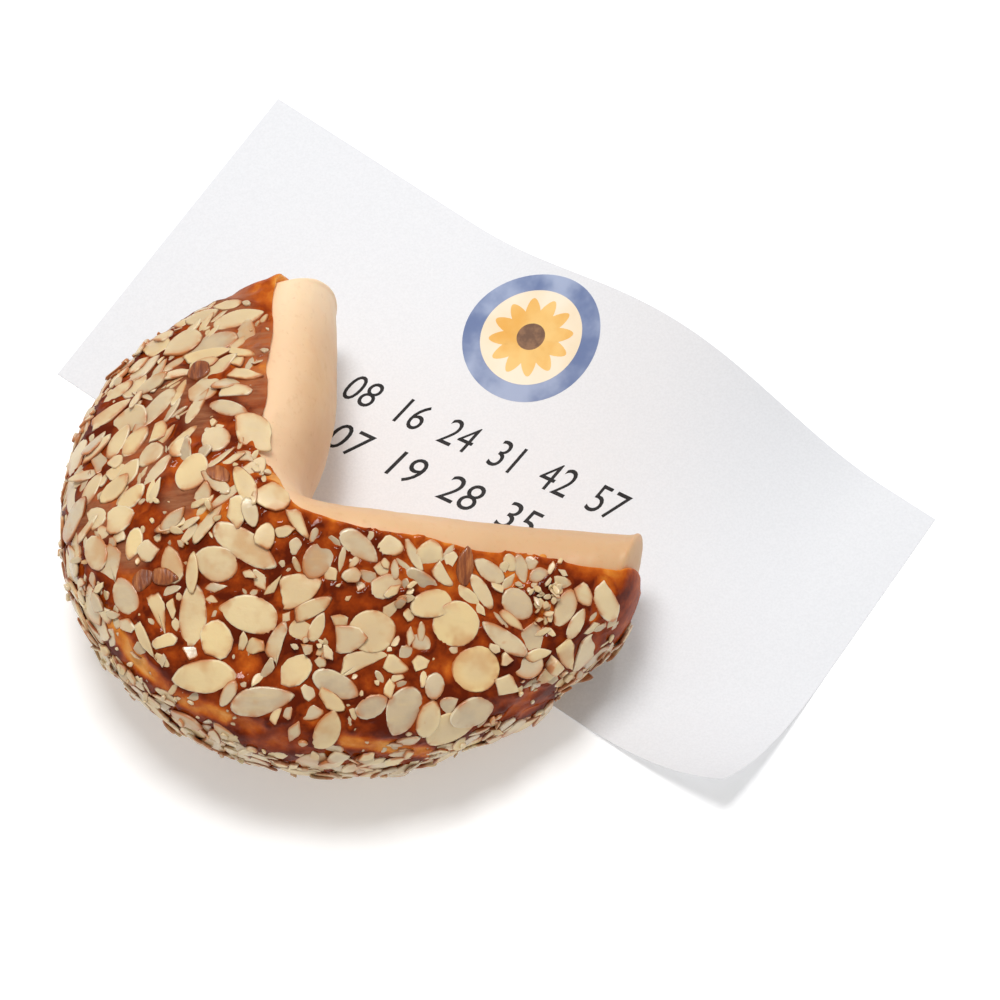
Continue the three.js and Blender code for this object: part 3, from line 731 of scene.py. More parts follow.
# ------------------------------------------------------------------ almonds that the picture shows well
# Each row: place right and down in the picture, length and width there in its pixels, the angle of
# the long side, the kind of slice, how yellow and how wet it is.
SEEN_SLICES = [
    (193, 614, 63, 28, 88, "slice", 0.5, 0.1), (245, 546, 73, 29, -32, "slice", 0.3, 0.1),
    (203, 677, 66, 32, 5, "slice", 0.6, 0.0), (262, 701, 63, 29, 10, "slice", 0.1, 0.9),
    (249, 614, 61, 36, -12, "slice", 0.5, 0.1), (154, 411, 61, 17, 50, "slice", 0.1, 0.8),
    (209, 346, 65, 21, 23, "slice", 0.1, 0.8), (238, 319, 57, 17, 15, "slice", 0.3, 0.2),
    (361, 662, 57, 21, 12, "broken", 0.4, 0.2), (451, 727, 54, 29, 20, "slice", 0.6, 0.0),
    (504, 639, 54, 19, -38, "slice", 0.2, 0.6), (403, 712, 52, 33, 70, "slice", 0.0, 1.0),
    (336, 685, 50, 25, -25, "slice", 0.1, 0.9), (255, 431, 50, 31, -25, "broken", 0.4, 0.2),
    (476, 669, 47, 47, 0, "round", 0.9, 0.0), (456, 624, 46, 46, 20, "round", 0.8, 0.1),
    (435, 603, 46, 29, 10, "slice", 0.7, 0.0), (359, 546, 46, 23, -41, "slice", 0.1, 0.6),
    (216, 563, 46, 34, -15, "slice", 0.4, 0.3), (372, 631, 46, 42, 0, "round", 0.5, 0.1),
    (327, 731, 46, 25, 68, "slice", 0.6, 0.1), (183, 344, 45, 21, 30, "slice", 0.3, 0.4),
    (606, 601, 45, 25, -70, "broken", 0.3, 0.2), (298, 590, 44, 32, 20, "broken", 0.6, 0.1),
    (318, 559, 42, 29, 60, "slice", 0.0, 1.0), (125, 596, 42, 26, -65, "slice", 0.1, 0.8),
    (193, 472, 42, 29, 60, "slice", 0.6, 0.1), (77, 457, 42, 15, 65, "slice", 0.3, 0.3),
    (565, 609, 43, 20, 65, "slice", 0.2, 0.4), (482, 592, 40, 15, -60, "slice", 0.3, 0.3),
    (272, 496, 38, 29, -35, "broken", 0.5, 0.1), (245, 485, 44, 19, -60, "slice", 0.6, 0.1),
    (586, 651, 39, 20, 50, "broken", 0.3, 0.2), (372, 706, 36, 22, 30, "slice", 0.0, 0.9),
    (294, 669, 38, 33, 10, "broken", 0.7, 0.1), (172, 565, 38, 23, 100, "slice", 0.4, 0.4),
    (348, 638, 36, 29, 0, "broken", 0.2, 0.4), (489, 571, 36, 19, -35, "slice", 0.1, 0.6),
    (576, 624, 36, 14, 60, "slice", 0.2, 0.4), (96, 554, 36, 25, -75, "slice", 0.2, 0.5),
    (414, 556, 35, 11, -62, "sliver", 0.2, 0.5), (134, 544, 34, 16, 75, "slice", 0.7, 0.0),
    (228, 306, 31, 11, 3, "slice", 0.3, 0.2), (216, 439, 29, 26, 30, "round", 0.2, 0.4),
    (151, 455, 30, 19, 45, "slice", 0.2, 0.5), (583, 594, 27, 17, -55, "broken", 0.4, 0.3),
    (390, 546, 26, 20, -20, "broken", 0.3, 0.2), (148, 551, 25, 24, 20, "chip", 0.3, 0.4),
    (216, 640, 38, 34, 80, "broken", 0.7, 0.0), (277, 645, 45, 19, 70, "broken", 0.2, 0.5),
    (268, 668, 28, 12, 60, "chip", 0.0, 0.9), (228, 694, 32, 13, 60, "slice", 0.2, 0.6),
    (294, 732, 27, 17, 70, "chip", 0.2, 0.4), (311, 609, 42, 17, 25, "broken", 0.5, 0.1),
    (317, 627, 32, 14, 65, "slice", 0.4, 0.1), (330, 699, 36, 17, -35, "broken", 0.7, 0.1),
    (386, 586, 32, 25, 10, "broken", 0.3, 0.3), (392, 591, 22, 13, 35, "chip", 0.6, 0.0),
    (442, 574, 30, 17, -50, "broken", 0.3, 0.3), (454, 544, 42, 9, -33, "sliver", 0.4, 0.1),
    (521, 569, 30, 14, -75, "slice", 0.0, 0.7), (538, 575, 23, 16, 30, "chip", 0.0, 0.9),
    (517, 604, 36, 29, -50, "round", 0.0, 0.9), (511, 620, 31, 10, -42, "sliver", 0.6, 0.1),
    (470, 712, 44, 28, 15, "slice", 0.2, 0.6), (428, 719, 40, 23, 75, "slice", 0.4, 0.2),
    (434, 686, 27, 20, 80, "round", 0.0, 0.9), (420, 663, 21, 18, 30, "chip", 0.6, 0.1),
    (395, 665, 28, 17, -20, "broken", 0.4, 0.1), (389, 689, 22, 12, 80, "chip", 0.6, 0.0),
    (410, 637, 23, 12, 75, "chip", 0.2, 0.4), (421, 632, 23, 8, 88, "sliver", 0.1, 0.6),
    (538, 655, 25, 14, 20, "broken", 0.5, 0.2), (566, 654, 30, 18, -70, "broken", 0.6, 0.0),
    (580, 677, 19, 15, 50, "chip", 0.4, 0.2), (506, 685, 28, 24, -40, "chip", 0.4, 0.2),
    (203, 318, 38, 13, 20, "slice", 0.2, 0.5), (207, 356, 50, 11, 13, "broken", 0.7, 0.0),
    (241, 354, 28, 10, -12, "broken", 0.7, 0.0), (203, 366, 34, 11, 20, "broken", 0.6, 0.1),
    (244, 375, 42, 13, -6, "chip", 0.5, 0.1), (235, 391, 33, 16, -6, "broken", 0.3, 0.2),
    (203, 388, 36, 24, 25, "broken", 0.2, 0.5), (197, 407, 42, 11, 60, "slice", 0.3, 0.4),
    (229, 409, 44, 16, -15, "slice", 0.1, 0.7), (136, 387, 32, 15, 50, "slice", 0.3, 0.3),
    (118, 393, 38, 12, 35, "slice", 0.3, 0.2), (109, 415, 54, 12, 35, "broken", 0.3, 0.2),
    (119, 442, 42, 15, 62, "slice", 0.4, 0.2), (136, 442, 38, 16, 55, "slice", 0.7, 0.0),
    (159, 433, 25, 19, 70, "broken", 0.7, 0.0), (183, 438, 40, 8, 40, "sliver", 0.3, 0.2),
    (274, 438, 22, 18, -30, "chip", 0.4, 0.1), (245, 456, 21, 17, -40, "chip", 0.1, 0.5),
    (216, 483, 35, 14, -35, "slice", 0.0, 0.7), (158, 470, 46, 12, 52, "slice", 0.1, 0.5),
    (129, 473, 35, 17, 55, "slice", 0.6, 0.1), (116, 489, 40, 17, 45, "slice", 0.6, 0.1),
    (133, 497, 36, 17, 45, "slice", 0.7, 0.0), (92, 489, 40, 13, 60, "slice", 0.2, 0.3),
    (72, 496, 35, 14, -80, "slice", 0.2, 0.5), (75, 520, 52, 16, 60, "slice", 0.0, 0.9),
    (96, 518, 25, 19, 40, "broken", 0.2, 0.4), (120, 520, 30, 23, 20, "broken", 0.4, 0.1),
    (193, 572, 42, 13, 88, "slice", 0.5, 0.0), (237, 512, 32, 23, 70, "broken", 0.5, 0.1),
    (251, 513, 30, 16, -75, "slice", 0.1, 0.5), (297, 522, 36, 13, -60, "broken", 0.4, 0.1),
    (284, 531, 25, 14, 10, "chip", 0.4, 0.2), (265, 536, 27, 19, 75, "broken", 0.5, 0.0),
    (158, 611, 50, 15, -65, "broken", 0.6, 0.0), (172, 608, 27, 12, 88, "chip", 0.6, 0.0),
    (165, 641, 30, 16, 15, "chip", 0.6, 0.0), (146, 640, 42, 10, -65, "broken", 0.5, 0.1),
    (128, 625, 21, 15, -20, "chip", 0.2, 0.4), (112, 637, 24, 13, 80, "chip", 0.1, 0.5),
    (243, 641, 25, 11, 80, "chip", 0.4, 0.1), (351, 575, 21, 19, 0, "crumb", 0.1, 0.4),
    (295, 546, 20, 15, 80, "chip", 0.1, 0.5), (505, 659, 16, 15, 0, "crumb", 0.2, 0.3),
    (494, 648, 15, 12, -30, "crumb", 0.1, 0.6), (551, 662, 17, 14, 20, "crumb", 0.6, 0.1),
    (256, 470, 11, 8, -15, "crumb", 0.0, 0.2), (340, 520, 12, 5, -35, "crumb", 0.1, 0.2),
]
# Each row: place, length, width and angle, as above.
SEEN_SKINS = [(143, 579, 24, 20, 40), (165, 577, 26, 18, -10), (220, 475, 27, 16, -20),
              (465, 566, 40, 17, 85), (200, 372, 26, 15, 20)]
# Each spot: its place and radius in the picture. Bare ones have no almonds on the caramel, through
# thin ones the biscuit shines, and sheen ones carry a milky painted sheen, a painted reflection.
BARE_SPOTS = [(118, 634, 6), (128, 648, 7), (143, 665, 8), (160, 682, 8), (183, 701, 7),
              (203, 708, 7), (224, 716, 7), (248, 727, 12), (270, 735, 14), (293, 745, 10), (306, 732, 10),
              (352, 742, 12), (375, 734, 15), (396, 728, 10), (420, 750, 8), (497, 705, 9), (520, 706, 11),
              (545, 698, 9), (445, 682, 9), (368, 681, 7), (255, 400, 12), (264, 340, 9), (250, 280, 18),
              (284, 482, 16), (316, 515, 14), (345, 520, 10), (280, 545, 12), (335, 592, 10),
              (398, 625, 8), (440, 650, 8), (585, 572, 12), (610, 573, 12), (455, 690, 8), (620, 640, 8),
              (262, 305, 7), (265, 372, 8), (200, 425, 7), (240, 580, 6), (245, 663, 8), (360, 600, 9),
              (418, 690, 7), (180, 655, 7), (300, 700, 7), (560, 640, 6), (370, 560, 8)]
THIN_SPOTS = [(225, 512, 12), (205, 508, 12), (279, 279, 8), (300, 497, 9), (335, 512, 8),
              (360, 519, 8), (545, 608, 7)]
SHEEN_SPOTS = [(258, 345, 22), (255, 385, 20), (230, 300, 22), (262, 420, 12), (215, 330, 18),
              (170, 390, 22), (200, 420, 14), (140, 455, 26), (95, 515, 22), (180, 500, 18), (130, 555, 16)]
# The ridges where the caramel is painted lighter: along the two on the lower rim this is a painted
# highlight where the rounded rim catches the light, and along the one by the bare fold the caramel is
# thin. Each row: the course of each in the picture, and about half its width.
RIDGES = [([(104, 612), (120, 637), (138, 660), (160, 682), (183, 700), (210, 711), (228, 718)], 7),
          ([(345, 741), (385, 747), (430, 753)], 6), ([(262, 470), (284, 488), (330, 512), (372, 521)], 5)]


def ridge_spots():
    """Round places strung closely along the ridges."""
    spots = []
    for course, radius in RIDGES:
        for first, last in zip(course, course[1:]):
            count = math.ceil(math.dist(first, last) / radius * 2)
            spots += [(first[0] + (last[0] - first[0]) * k / count,
                       first[1] + (last[1] - first[1]) * k / count, radius) for k in range(count)]
    return spots


LEAST_FACING = 0.3
LONGEST_HALF, WIDEST_HALF = 10.5, 7.5


def true_size(normal, angle, length, width):
    """The way along the surface and the real half sizes of what measures so in the picture."""
    way = RIGHT * math.cos(math.radians(angle)) + UP * math.sin(math.radians(angle))
    facing = max(LEAST_FACING, -(LOOK @ normal))
    along = way + LOOK * (way @ normal) / facing
    stretch = np.linalg.norm(along)
    half_length = min(length / PIXELS_PER_MM / 2 * stretch, LONGEST_HALF)
    half_width = length * width / PIXELS_PER_MM ** 2 / 4 / half_length / facing
    return along, half_length, min(half_width, WIDEST_HALF)


# How pointed a slice of each kind is, and how uneven.
SLICE_POINTED, ROUND_POINTED, BROKEN_POINTED, SLENDER_POINTED = (0.5, 1.0), 0.1, (0.2, 0.9), 0.6
ROUND_WOBBLE, SLENDER_WOBBLE = 0.02, 0.05
NARROWEST = 0.9
BROKEN_LENGTH, BROKEN_WIDTH = 1.15, 1.05
END_TURN, END_KEEPS = 0.6, (0.45, 0.75)
SIDE_SHARE, SIDE_TURNS, SIDE_KEEPS = 0.5, (1.1, 2.0), (0.5, 0.8)


def broken_outline(half_length, half_width, count):
    """A slice that is broken off at its round end, and often along one side as well."""
    whole = slice_outline(half_length * BROKEN_LENGTH, half_width * BROKEN_WIDTH, count,
                          rng.uniform(*BROKEN_POINTED))
    whole = break_outline(whole, math.pi + about_zero(END_TURN), rng.uniform(*END_KEEPS))
    if rng.random() < SIDE_SHARE:
        turn = rng.choice([-1, 1]) * rng.uniform(*SIDE_TURNS)
        whole = break_outline(whole, turn, rng.uniform(*SIDE_KEEPS))
    return whole - whole.mean(0)


def outline_for(kind, half_length, half_width, count):
    if kind == "slice":
        return slice_outline(half_length, half_width, count, rng.uniform(*SLICE_POINTED))
    if kind == "round":
        return slice_outline(half_length, half_width, count, ROUND_POINTED, ROUND_WOBBLE)
    if kind == "broken":
        return broken_outline(half_length, half_width, count)
    if kind in ("sliver", "slender"):
        return slice_outline(half_length, max(half_width, NARROWEST), count, SLENDER_POINTED, SLENDER_WOBBLE)
    return chip_outline(half_length, half_width, count)


def seen_spot(tree, x, y, scale=1):
    """Where a surface lies at a place in the picture, and its outward way there.

    The scale is the length of a millimetre in the surface's own units.
    """
    spot, normal, _, _ = tree.ray_cast(Vector(EYE * scale), Vector(sight_line(x, y)))
    if spot is None:
        return None, None
    normal = np.array(normal)
    return np.array(spot) / scale, normal * (-1 if LOOK @ normal > 0 else 1)


LARGE_IN_PICTURE = 40
SEEN_THICKNESS, SEEN_CONFORM = (0.8, 1.15), (0.3, 0.6)
SEEN_BEND, SEEN_TWIST = 0.012, 0.008
DRY_SINK, WET_SINK = 0.35, 0.35
SKIN_POINTED, SKIN_WOBBLE = 0.5, 0.06
SKIN_THICKNESS, SKIN_SINK, SKIN_DOME = 1.2, 0.75, 0.35


def lay_seen(almonds, bed):
    for x, y, length, width, angle, kind, yellow, wet in SEEN_SLICES:
        spot, normal = seen_spot(bed, x, y)
        if spot is None:
            continue
        along, half_length, half_width = true_size(normal, angle, length, width)
        if kind == "slice" and rng.random() < 0.5:
            along = -along
        count = MOST_CORNERS if length > LARGE_IN_PICTURE else SOME_CORNERS
        outline = outline_for(kind, half_length, half_width, count)
        thickness = half_width if kind == "crumb" else rng.uniform(*SEEN_THICKNESS)
        name = "almond_bits" if kind in ("crumb", "sliver") else "almond_slices"
        bend = (about_zero(SEEN_BEND), about_zero(SEEN_TWIST))
        tint = (yellow, wet, rng.random())
        almonds.lay(name, spot, normal, along, outline, thickness, tint, sink=DRY_SINK + WET_SINK * wet,
                    conform=rng.uniform(*SEEN_CONFORM), hero=True, bend=bend)
    for x, y, length, width, angle in SEEN_SKINS:
        spot, normal = seen_spot(bed, x, y)
        along, half_length, half_width = true_size(normal, angle, length, width)
        outline = slice_outline(half_length, half_width, MANY_CORNERS, SKIN_POINTED, SKIN_WOBBLE)
        almonds.lay("almond_skins", spot, normal, along, outline, SKIN_THICKNESS, (0.5, 0.5, rng.random()),
                    sink=SKIN_SINK, hero=True, dome=SKIN_DOME)


# ------------------------------------------------------------------ the rest, scattered
# Each row: how many are tried, shortest and longest, their kinds, and the most they may cover.
SCATTER = [
    (1500, 14.0, 19.0, ("slice", "slice", "broken"), 0.35),
    (2600, 9.5, 14.0, ("slice", "broken", "broken", "round", "broken"), 0.45),
    (1500, 10.0, 15.0, ("slender", "slice", "slender"), 0.7),
    (3600, 6.0, 9.5, ("broken", "chip", "slender", "chip"), 0.5),
    (4200, 3.8, 6.5, ("chip", "chip", "broken"), 0.5),
]
WIDTH_SHARES = {"slice": (0.4, 0.58), "round": (0.85, 1.0), "broken": (0.45, 0.85), "chip": (0.35, 0.9),
                "slender": (0.2, 0.36)}
# Each row: place and radius in the picture, and how many crumbs lie there.
CRUMB_HEAPS = [(545, 602, 21, 60), (573, 664, 18, 40), (506, 655, 12, 16), (530, 585, 14, 24),
               (345, 520, 9, 8), (256, 470, 9, 4), (316, 645, 14, 16), (404, 592, 12, 12)]


INWARD = -3.0


def spots_on(caramel, count):
    """Random places on the caramel, evenly by area, with their outward ways and edge distances."""
    points = caramel.bed_points
    across = np.cross(points[1:, 1:] - points[:-1, :-1], points[1:, :-1] - points[:-1, 1:])
    area = np.linalg.norm(across, axis=-1)
    chosen = rng.choice(area.size, count, p=(area / area.sum()).ravel())
    i, j = np.unravel_index(chosen, area.shape)
    u, v = rng.random((2, count, 1))
    spots = (points[i, j] * (1 - u) * (1 - v) + points[i + 1, j] * u * (1 - v)
             + points[i, j + 1] * (1 - u) * v + points[i + 1, j + 1] * u * v)
    normals = across[i, j] / np.maximum(area[i, j], SHORTEST)[:, None]
    inward = skin(caramel.along[i], caramel.around[i, j], INWARD)
    normals *= np.sign(((spots - inward) * normals).sum(-1))[:, None]
    return spots, normals, caramel.edge_distance[i, j]


FAR_OFF, IN_SIGHT = 99.0, -0.1


def from_bare(spots, normals):
    """How many millimetres each place lies from where the picture shows caramel without almonds."""
    nearest = np.full(len(spots), FAR_OFF)
    for away, radius in away_from(spots, BARE_SPOTS):
        nearest = np.minimum(nearest, (away - radius) / PIXELS_PER_MM)
    return np.where(normals @ LOOK < IN_SIGHT, nearest, FAR_OFF)


# Where parts of the coat begin and end in the picture, in its pixels.
SHORT_END_LOW, SHORT_END_SLOPE, SHORT_END_RIGHT = 300, 0.1, 280
LONG_END_LEFT, LONG_END_LOW = 618, 632
OUTLINE_LOW, OUTLINE_RIGHT = 345, 240
FLANK_RIGHT, FLANK_RIGHT_BLUR = 330, 80
STREAM_LOW, STREAM_BLUR = 560, 60
GAPS_TOP, GAPS_LOW, GAPS_BLUR = 375, 600, 40
END_DEPTH, OUTLINE_FACING = 22, 0.3


def horn_end(spots, normals):
    """The horns' ends, which have caramel alone, and the outline beside the short one."""
    x, y = to_picture(spots).T
    short = y < SHORT_END_LOW + SHORT_END_SLOPE * (SHORT_END_RIGHT - x)
    short &= spots[:, 2] > MIDDLE_HEIGHT - END_DEPTH
    long = (x > LONG_END_LEFT) & (y < LONG_END_LOW)
    beside = (y < OUTLINE_LOW) & (x < OUTLINE_RIGHT) & (np.abs(normals @ LOOK) < OUTLINE_FACING)
    return short | long | beside


def streaming(picture):
    """How strongly the slices lie one way: on the left flank they point up and to the right."""
    x, y = picture.T
    return smooth((FLANK_RIGHT - x) / FLANK_RIGHT_BLUR) * smooth((STREAM_LOW - y) / STREAM_BLUR)


def gappy(picture):
    """The part of the left flank where larger patches of caramel show between the slices."""
    x, y = picture.T
    return (smooth((FLANK_RIGHT - x) / FLANK_RIGHT_BLUR) * smooth((y - GAPS_TOP) / GAPS_BLUR)
            * smooth((GAPS_LOW - y) / GAPS_BLUR))


WET_SHARE = 0.44
WET_YELLOW, DRY_YELLOW = (0.0, 0.35), (0.05, 0.7)
WETNESS, DRYNESS = (0.45, 1.0), (0.0, 0.3)


def random_tint():
    """How yellow and how wet a slice is, and a number of its own."""
    wet = rng.random() < WET_SHARE
    yellow = rng.uniform(*(WET_YELLOW if wet else DRY_YELLOW))
    return yellow, rng.uniform(*(WETNESS if wet else DRYNESS)), rng.random()


GAP_SIZE, GAP_LEVEL = 15, 0.25
TABLE_CLEARANCE = 2.0
WELL_SEEN = 0.5
TURNED_AWAY, TURNED_SPAN = 0.75, 0.4
STREAM_SHORTER, OUTLINE_SHORTER = 0.25, 0.3
STREAM_SLENDER = 0.45
EDGE_SHARE, EDGE_EXTRA = 0.35, (0.0, 5.0)
BARE_SHARE = 0.27
OPEN_SHARE, OPEN_STREAM = 0.5, 0.2
FULL_COVER, FULL_STREAM = 0.95, 0.15
STREAM_WAY, STREAM_PULL = RIGHT * 0.6 + UP * 0.8, 3
OUTLINE_PULL = 2
LONGEST_BETWEEN, BETWEEN_SHARE = 9.0, 0.8
ROUND_LENGTH = 0.75
MANY_CORNERED = 9.5
SLICE_THICKNESS, SLICE_CONFORM, OUTLINE_CONFORM = (0.7, 1.15), (0.15, 0.5), 0.9
SLICE_SINK, SLICE_WET_SINK = 0.3, 0.4
LEANS = [1, 1, -1]
SLICE_HIGHEST, LOOSE_HIGHER, STREAM_HIGHER = 1.6, 1.1, 1.6
SLICE_BEND, SLICE_TWIST = 0.02, 0.012
SLICE_TILT, LOOSE_TILT, STREAM_TILT = 0.02, 0.09, 0.11
STREAM_HERO_COVER = 0.26


def scatter_slices(almonds, caramel):
    gaps = Waves(GAP_SIZE)
    for tries, shortest, longest, kinds, most_covered in SCATTER:
        spots, normals, distance = spots_on(caramel, tries)
        picture, facing = to_picture(spots), normals @ LOOK
        bare, streams = from_bare(spots, normals), streaming(picture)
        well_seen = (facing < -WELL_SEEN) & (streams < 0.5)
        blocked = horn_end(spots, normals) | (spots[:, 2] < floor_height(spots) + TABLE_CLEARANCE)
        blocked |= (gappy(picture) > 0.5) & (gaps(spots) > GAP_LEVEL)
        outline_shares = smooth((TURNED_AWAY - np.abs(facing)) / TURNED_SPAN)
        for k in range(tries):
            stream, away = streams[k], outline_shares[k]
            length = rng.uniform(shortest, longest)
            length *= 1 - STREAM_SHORTER * stream
            length *= 1 - OUTLINE_SHORTER * away
            kind = kinds[rng.integers(len(kinds))]
            if stream > 0.5 and (kind == "round" or rng.random() < STREAM_SLENDER):
                kind = "slender"
            margin = EDGE_SHARE * length + rng.uniform(*EDGE_EXTRA)
            is_open = rng.random() < OPEN_SHARE - OPEN_STREAM * stream
            covers = most_covered if is_open else FULL_COVER - FULL_STREAM * stream
            way = rng.normal(size=3) + STREAM_PULL * stream * STREAM_WAY
            way += OUTLINE_PULL * away * np.cross(LOOK, normals[k])
            if blocked[k] or distance[k] < margin or bare[k] < BARE_SHARE * length:
                continue
            if length > LONGEST_BETWEEN and well_seen[k] and rng.random() < BETWEEN_SHARE:
                continue
            half_length = length / 2 * (ROUND_LENGTH if kind == "round" else 1)
            half_width = half_length * rng.uniform(*WIDTH_SHARES[kind])
            count = MANY_CORNERS if length > MANY_CORNERED else FEW_CORNERS
            outline = outline_for(kind, half_length, half_width, count)
            tint = random_tint()
            loose = 1 - away
            thickness = rng.uniform(*SLICE_THICKNESS)
            almonds.lay("almond_slices", spots[k], normals[k], way, outline, thickness, tint,
                        sink=SLICE_SINK + SLICE_WET_SINK * tint[1],
                        conform=rng.uniform(*SLICE_CONFORM) * loose + OUTLINE_CONFORM * (1 - loose),
                        lean=rng.choice(LEANS), most_covered=covers,
                        highest=SLICE_HIGHEST + (LOOSE_HIGHER + STREAM_HIGHER * stream) * loose,
                        bend=(about_zero(SLICE_BEND), about_zero(SLICE_TWIST)),
                        tilt=rng.normal(0, SLICE_TILT + (LOOSE_TILT + STREAM_TILT * stream) * loose, 2),
                        hero_cover=HERO_COVER + STREAM_HERO_COVER * stream)


SLIVER_TRIES, SLIVER_EDGE, SLIVER_FACING, SLIVER_LIFT = 380, 3, 0.5, 0.5
SLIVER_HALF_LENGTHS, SLIVER_HALF_WIDTHS, SLIVER_THICKNESS = (3.0, 6.5), (1.4, 2.2), (0.8, 1.2)
SLIVER_POINTED, SLIVER_WOBBLE, SLIVER_BEND = 0.7, 0.05, 0.03
SLIVER_ROLL, SLIVER_COVER = (0.6, 2.5), 0.35


def scatter_slivers(almonds, caramel):
    """Narrow strips that stand on edge or lie askew."""
    spots, normals, distance = spots_on(caramel, SLIVER_TRIES)
    blocked = (from_bare(spots, normals) < 1) | horn_end(spots, normals) | (spots[:, 2] < MIDDLE_HEIGHT)
    blocked |= (np.abs(normals @ LOOK) < SLIVER_FACING) | (distance <= SLIVER_EDGE)
    for spot, normal, is_blocked in zip(spots, normals, blocked):
        outline = slice_outline(rng.uniform(*SLIVER_HALF_LENGTHS), rng.uniform(*SLIVER_HALF_WIDTHS),
                                SOME_CORNERS, SLIVER_POINTED, SLIVER_WOBBLE)
        if not is_blocked:
            almonds.lay("almond_bits", spot + normal * SLIVER_LIFT, normal, rng.normal(size=3), outline,
                        rng.uniform(*SLIVER_THICKNESS), random_tint(), roll=rng.uniform(*SLIVER_ROLL),
                        most_covered=SLIVER_COVER, bend=(about_zero(SLIVER_BEND), 0))


CRUMB_TRIES, CRUMB_EDGE, CRUMB_HALVES, CRUMB_THICKNESS = 1500, 1.2, (0.6, 1.7), (0.5, 1.0)
CRUMB_BARE_SHARE, CRUMB_SINK, CRUMB_HIGHEST = 0.9, 0.25, 2.6
CRUMB_COVER, CRUMB_COVER_SHARE = 0.25, 0.85


def scatter_crumbs(almonds, caramel):
    spots, normals, distance = spots_on(caramel, CRUMB_TRIES)
    blocked = (from_bare(spots, normals) < 0) & (rng.random(CRUMB_TRIES) < CRUMB_BARE_SHARE)
    blocked |= horn_end(spots, normals) | (distance <= CRUMB_EDGE)
    for spot, normal, is_blocked in zip(spots, normals, blocked):
        half = rng.uniform(*CRUMB_HALVES)
        outline = crumb_outline(half)
        if not is_blocked:
            almonds.lay("almond_bits", spot, normal, rng.normal(size=3), outline,
                        half * rng.uniform(*CRUMB_THICKNESS), random_tint(), sink=CRUMB_SINK, conform=0,
                        most_covered=CRUMB_COVER if rng.random() < CRUMB_COVER_SHARE else 1.0,
                        highest=CRUMB_HIGHEST)


HEAP_HALVES, HEAP_THICKNESS = (0.9, 2.4), (0.7, 1.5)
HEAP_SINK, HEAP_COVER, HEAP_HIGHEST, HEAP_TILT = 0.2, 0.7, 2.0, 0.2


def heap_crumbs(almonds, bed):
    """Small pieces heaped where the picture shows them."""
    for x, y, radius, count in CRUMB_HEAPS:
        for _ in range(count):
            away, turn = radius * math.sqrt(rng.random()), rng.uniform(0, 2 * np.pi)
            spot, normal = seen_spot(bed, x + away * math.cos(turn), y + away * math.sin(turn))
            if spot is None:
                continue
            outline = crumb_outline(rng.uniform(*HEAP_HALVES))
            almonds.lay("almond_bits", spot, normal, rng.normal(size=3), outline,
                        rng.uniform(*HEAP_THICKNESS), random_tint(), sink=HEAP_SINK, conform=0,
                        most_covered=HEAP_COVER, highest=HEAP_HIGHEST, tilt=rng.normal(0, HEAP_TILT, 2))


CELL = 8.0
CLIMB_REACH, CLIMB_HEIGHTS, CLIMB_EDGE = 1.7, (0.25, 0.95), 1.5
HIGHEST_BEDDED, BEDDED_WITHIN = 1.3, 4
UNDER_RISE, UNDER_SINK, UNDER_SHARE = 0.5, 1.6, 0.5


def cells_of(points):
    """The numbers of the points that lie in each cell of a coarse grid."""
    cells = {}
    for k, cell in enumerate(map(tuple, np.floor(points / CELL).astype(int))):
        cells.setdefault(cell, []).append(k)
    return {cell: np.array(numbers) for cell, numbers in cells.items()}


def draw_up(caramel, almonds):
    """How the caramel climbs the edges of the slices that lie in it, and sinks under them."""
    points = caramel.bed_points.reshape(-1, 3)
    rise, under = np.zeros((2, len(points)))
    cells = cells_of(points)
    for centre, turned, half, plane in zip(almonds.centres, almonds.frames, almonds.halves, almonds.planes):
        if plane[0] > HIGHEST_BEDDED:
            continue
        span = half.max() + CLIMB_REACH
        low, high = (np.floor((centre + way) / CELL).astype(int) for way in (-span, span))
        around = [tuple(low + step) for step in np.ndindex(*(high - low + 1))]
        filled = [cells[cell] for cell in around if cell in cells]
        if not filled:
            continue
        near = np.concatenate(filled)
        offset = points[near] - centre
        u, v = offset @ turned[0], offset @ turned[1]
        close = np.abs(offset @ turned[2]) < BEDDED_WITHIN
        q = np.hypot(u / half[0], v / half[1])
        outside = (q - 1) * min(half)
        amount = rng.uniform(*CLIMB_HEIGHTS) * np.clip(1 - outside / CLIMB_REACH, 0, 1) ** 2
        rise[near] = np.where(close & (outside > 0), np.maximum(rise[near], amount), rise[near])
        sunk = np.clip(1 - q, 0, 1)
        under[near] = np.where(close & (q < 1), np.maximum(under[near], sunk), under[near])
    total = rise * (under <= 0) + (UNDER_RISE - UNDER_SINK * under) * UNDER_SHARE * (under > 0)
    return total.reshape(caramel.edge_distance.shape) * caramel.inland(CLIMB_EDGE)


# ------------------------------------------------------------------ the paper and its print
PAPER_COLUMNS, PAPER_ROWS = 150, 70
PLACE_COLUMNS, PLACE_ROWS = 491, 225
PRINT_DEPTH = 0.05
FACET = 1.6


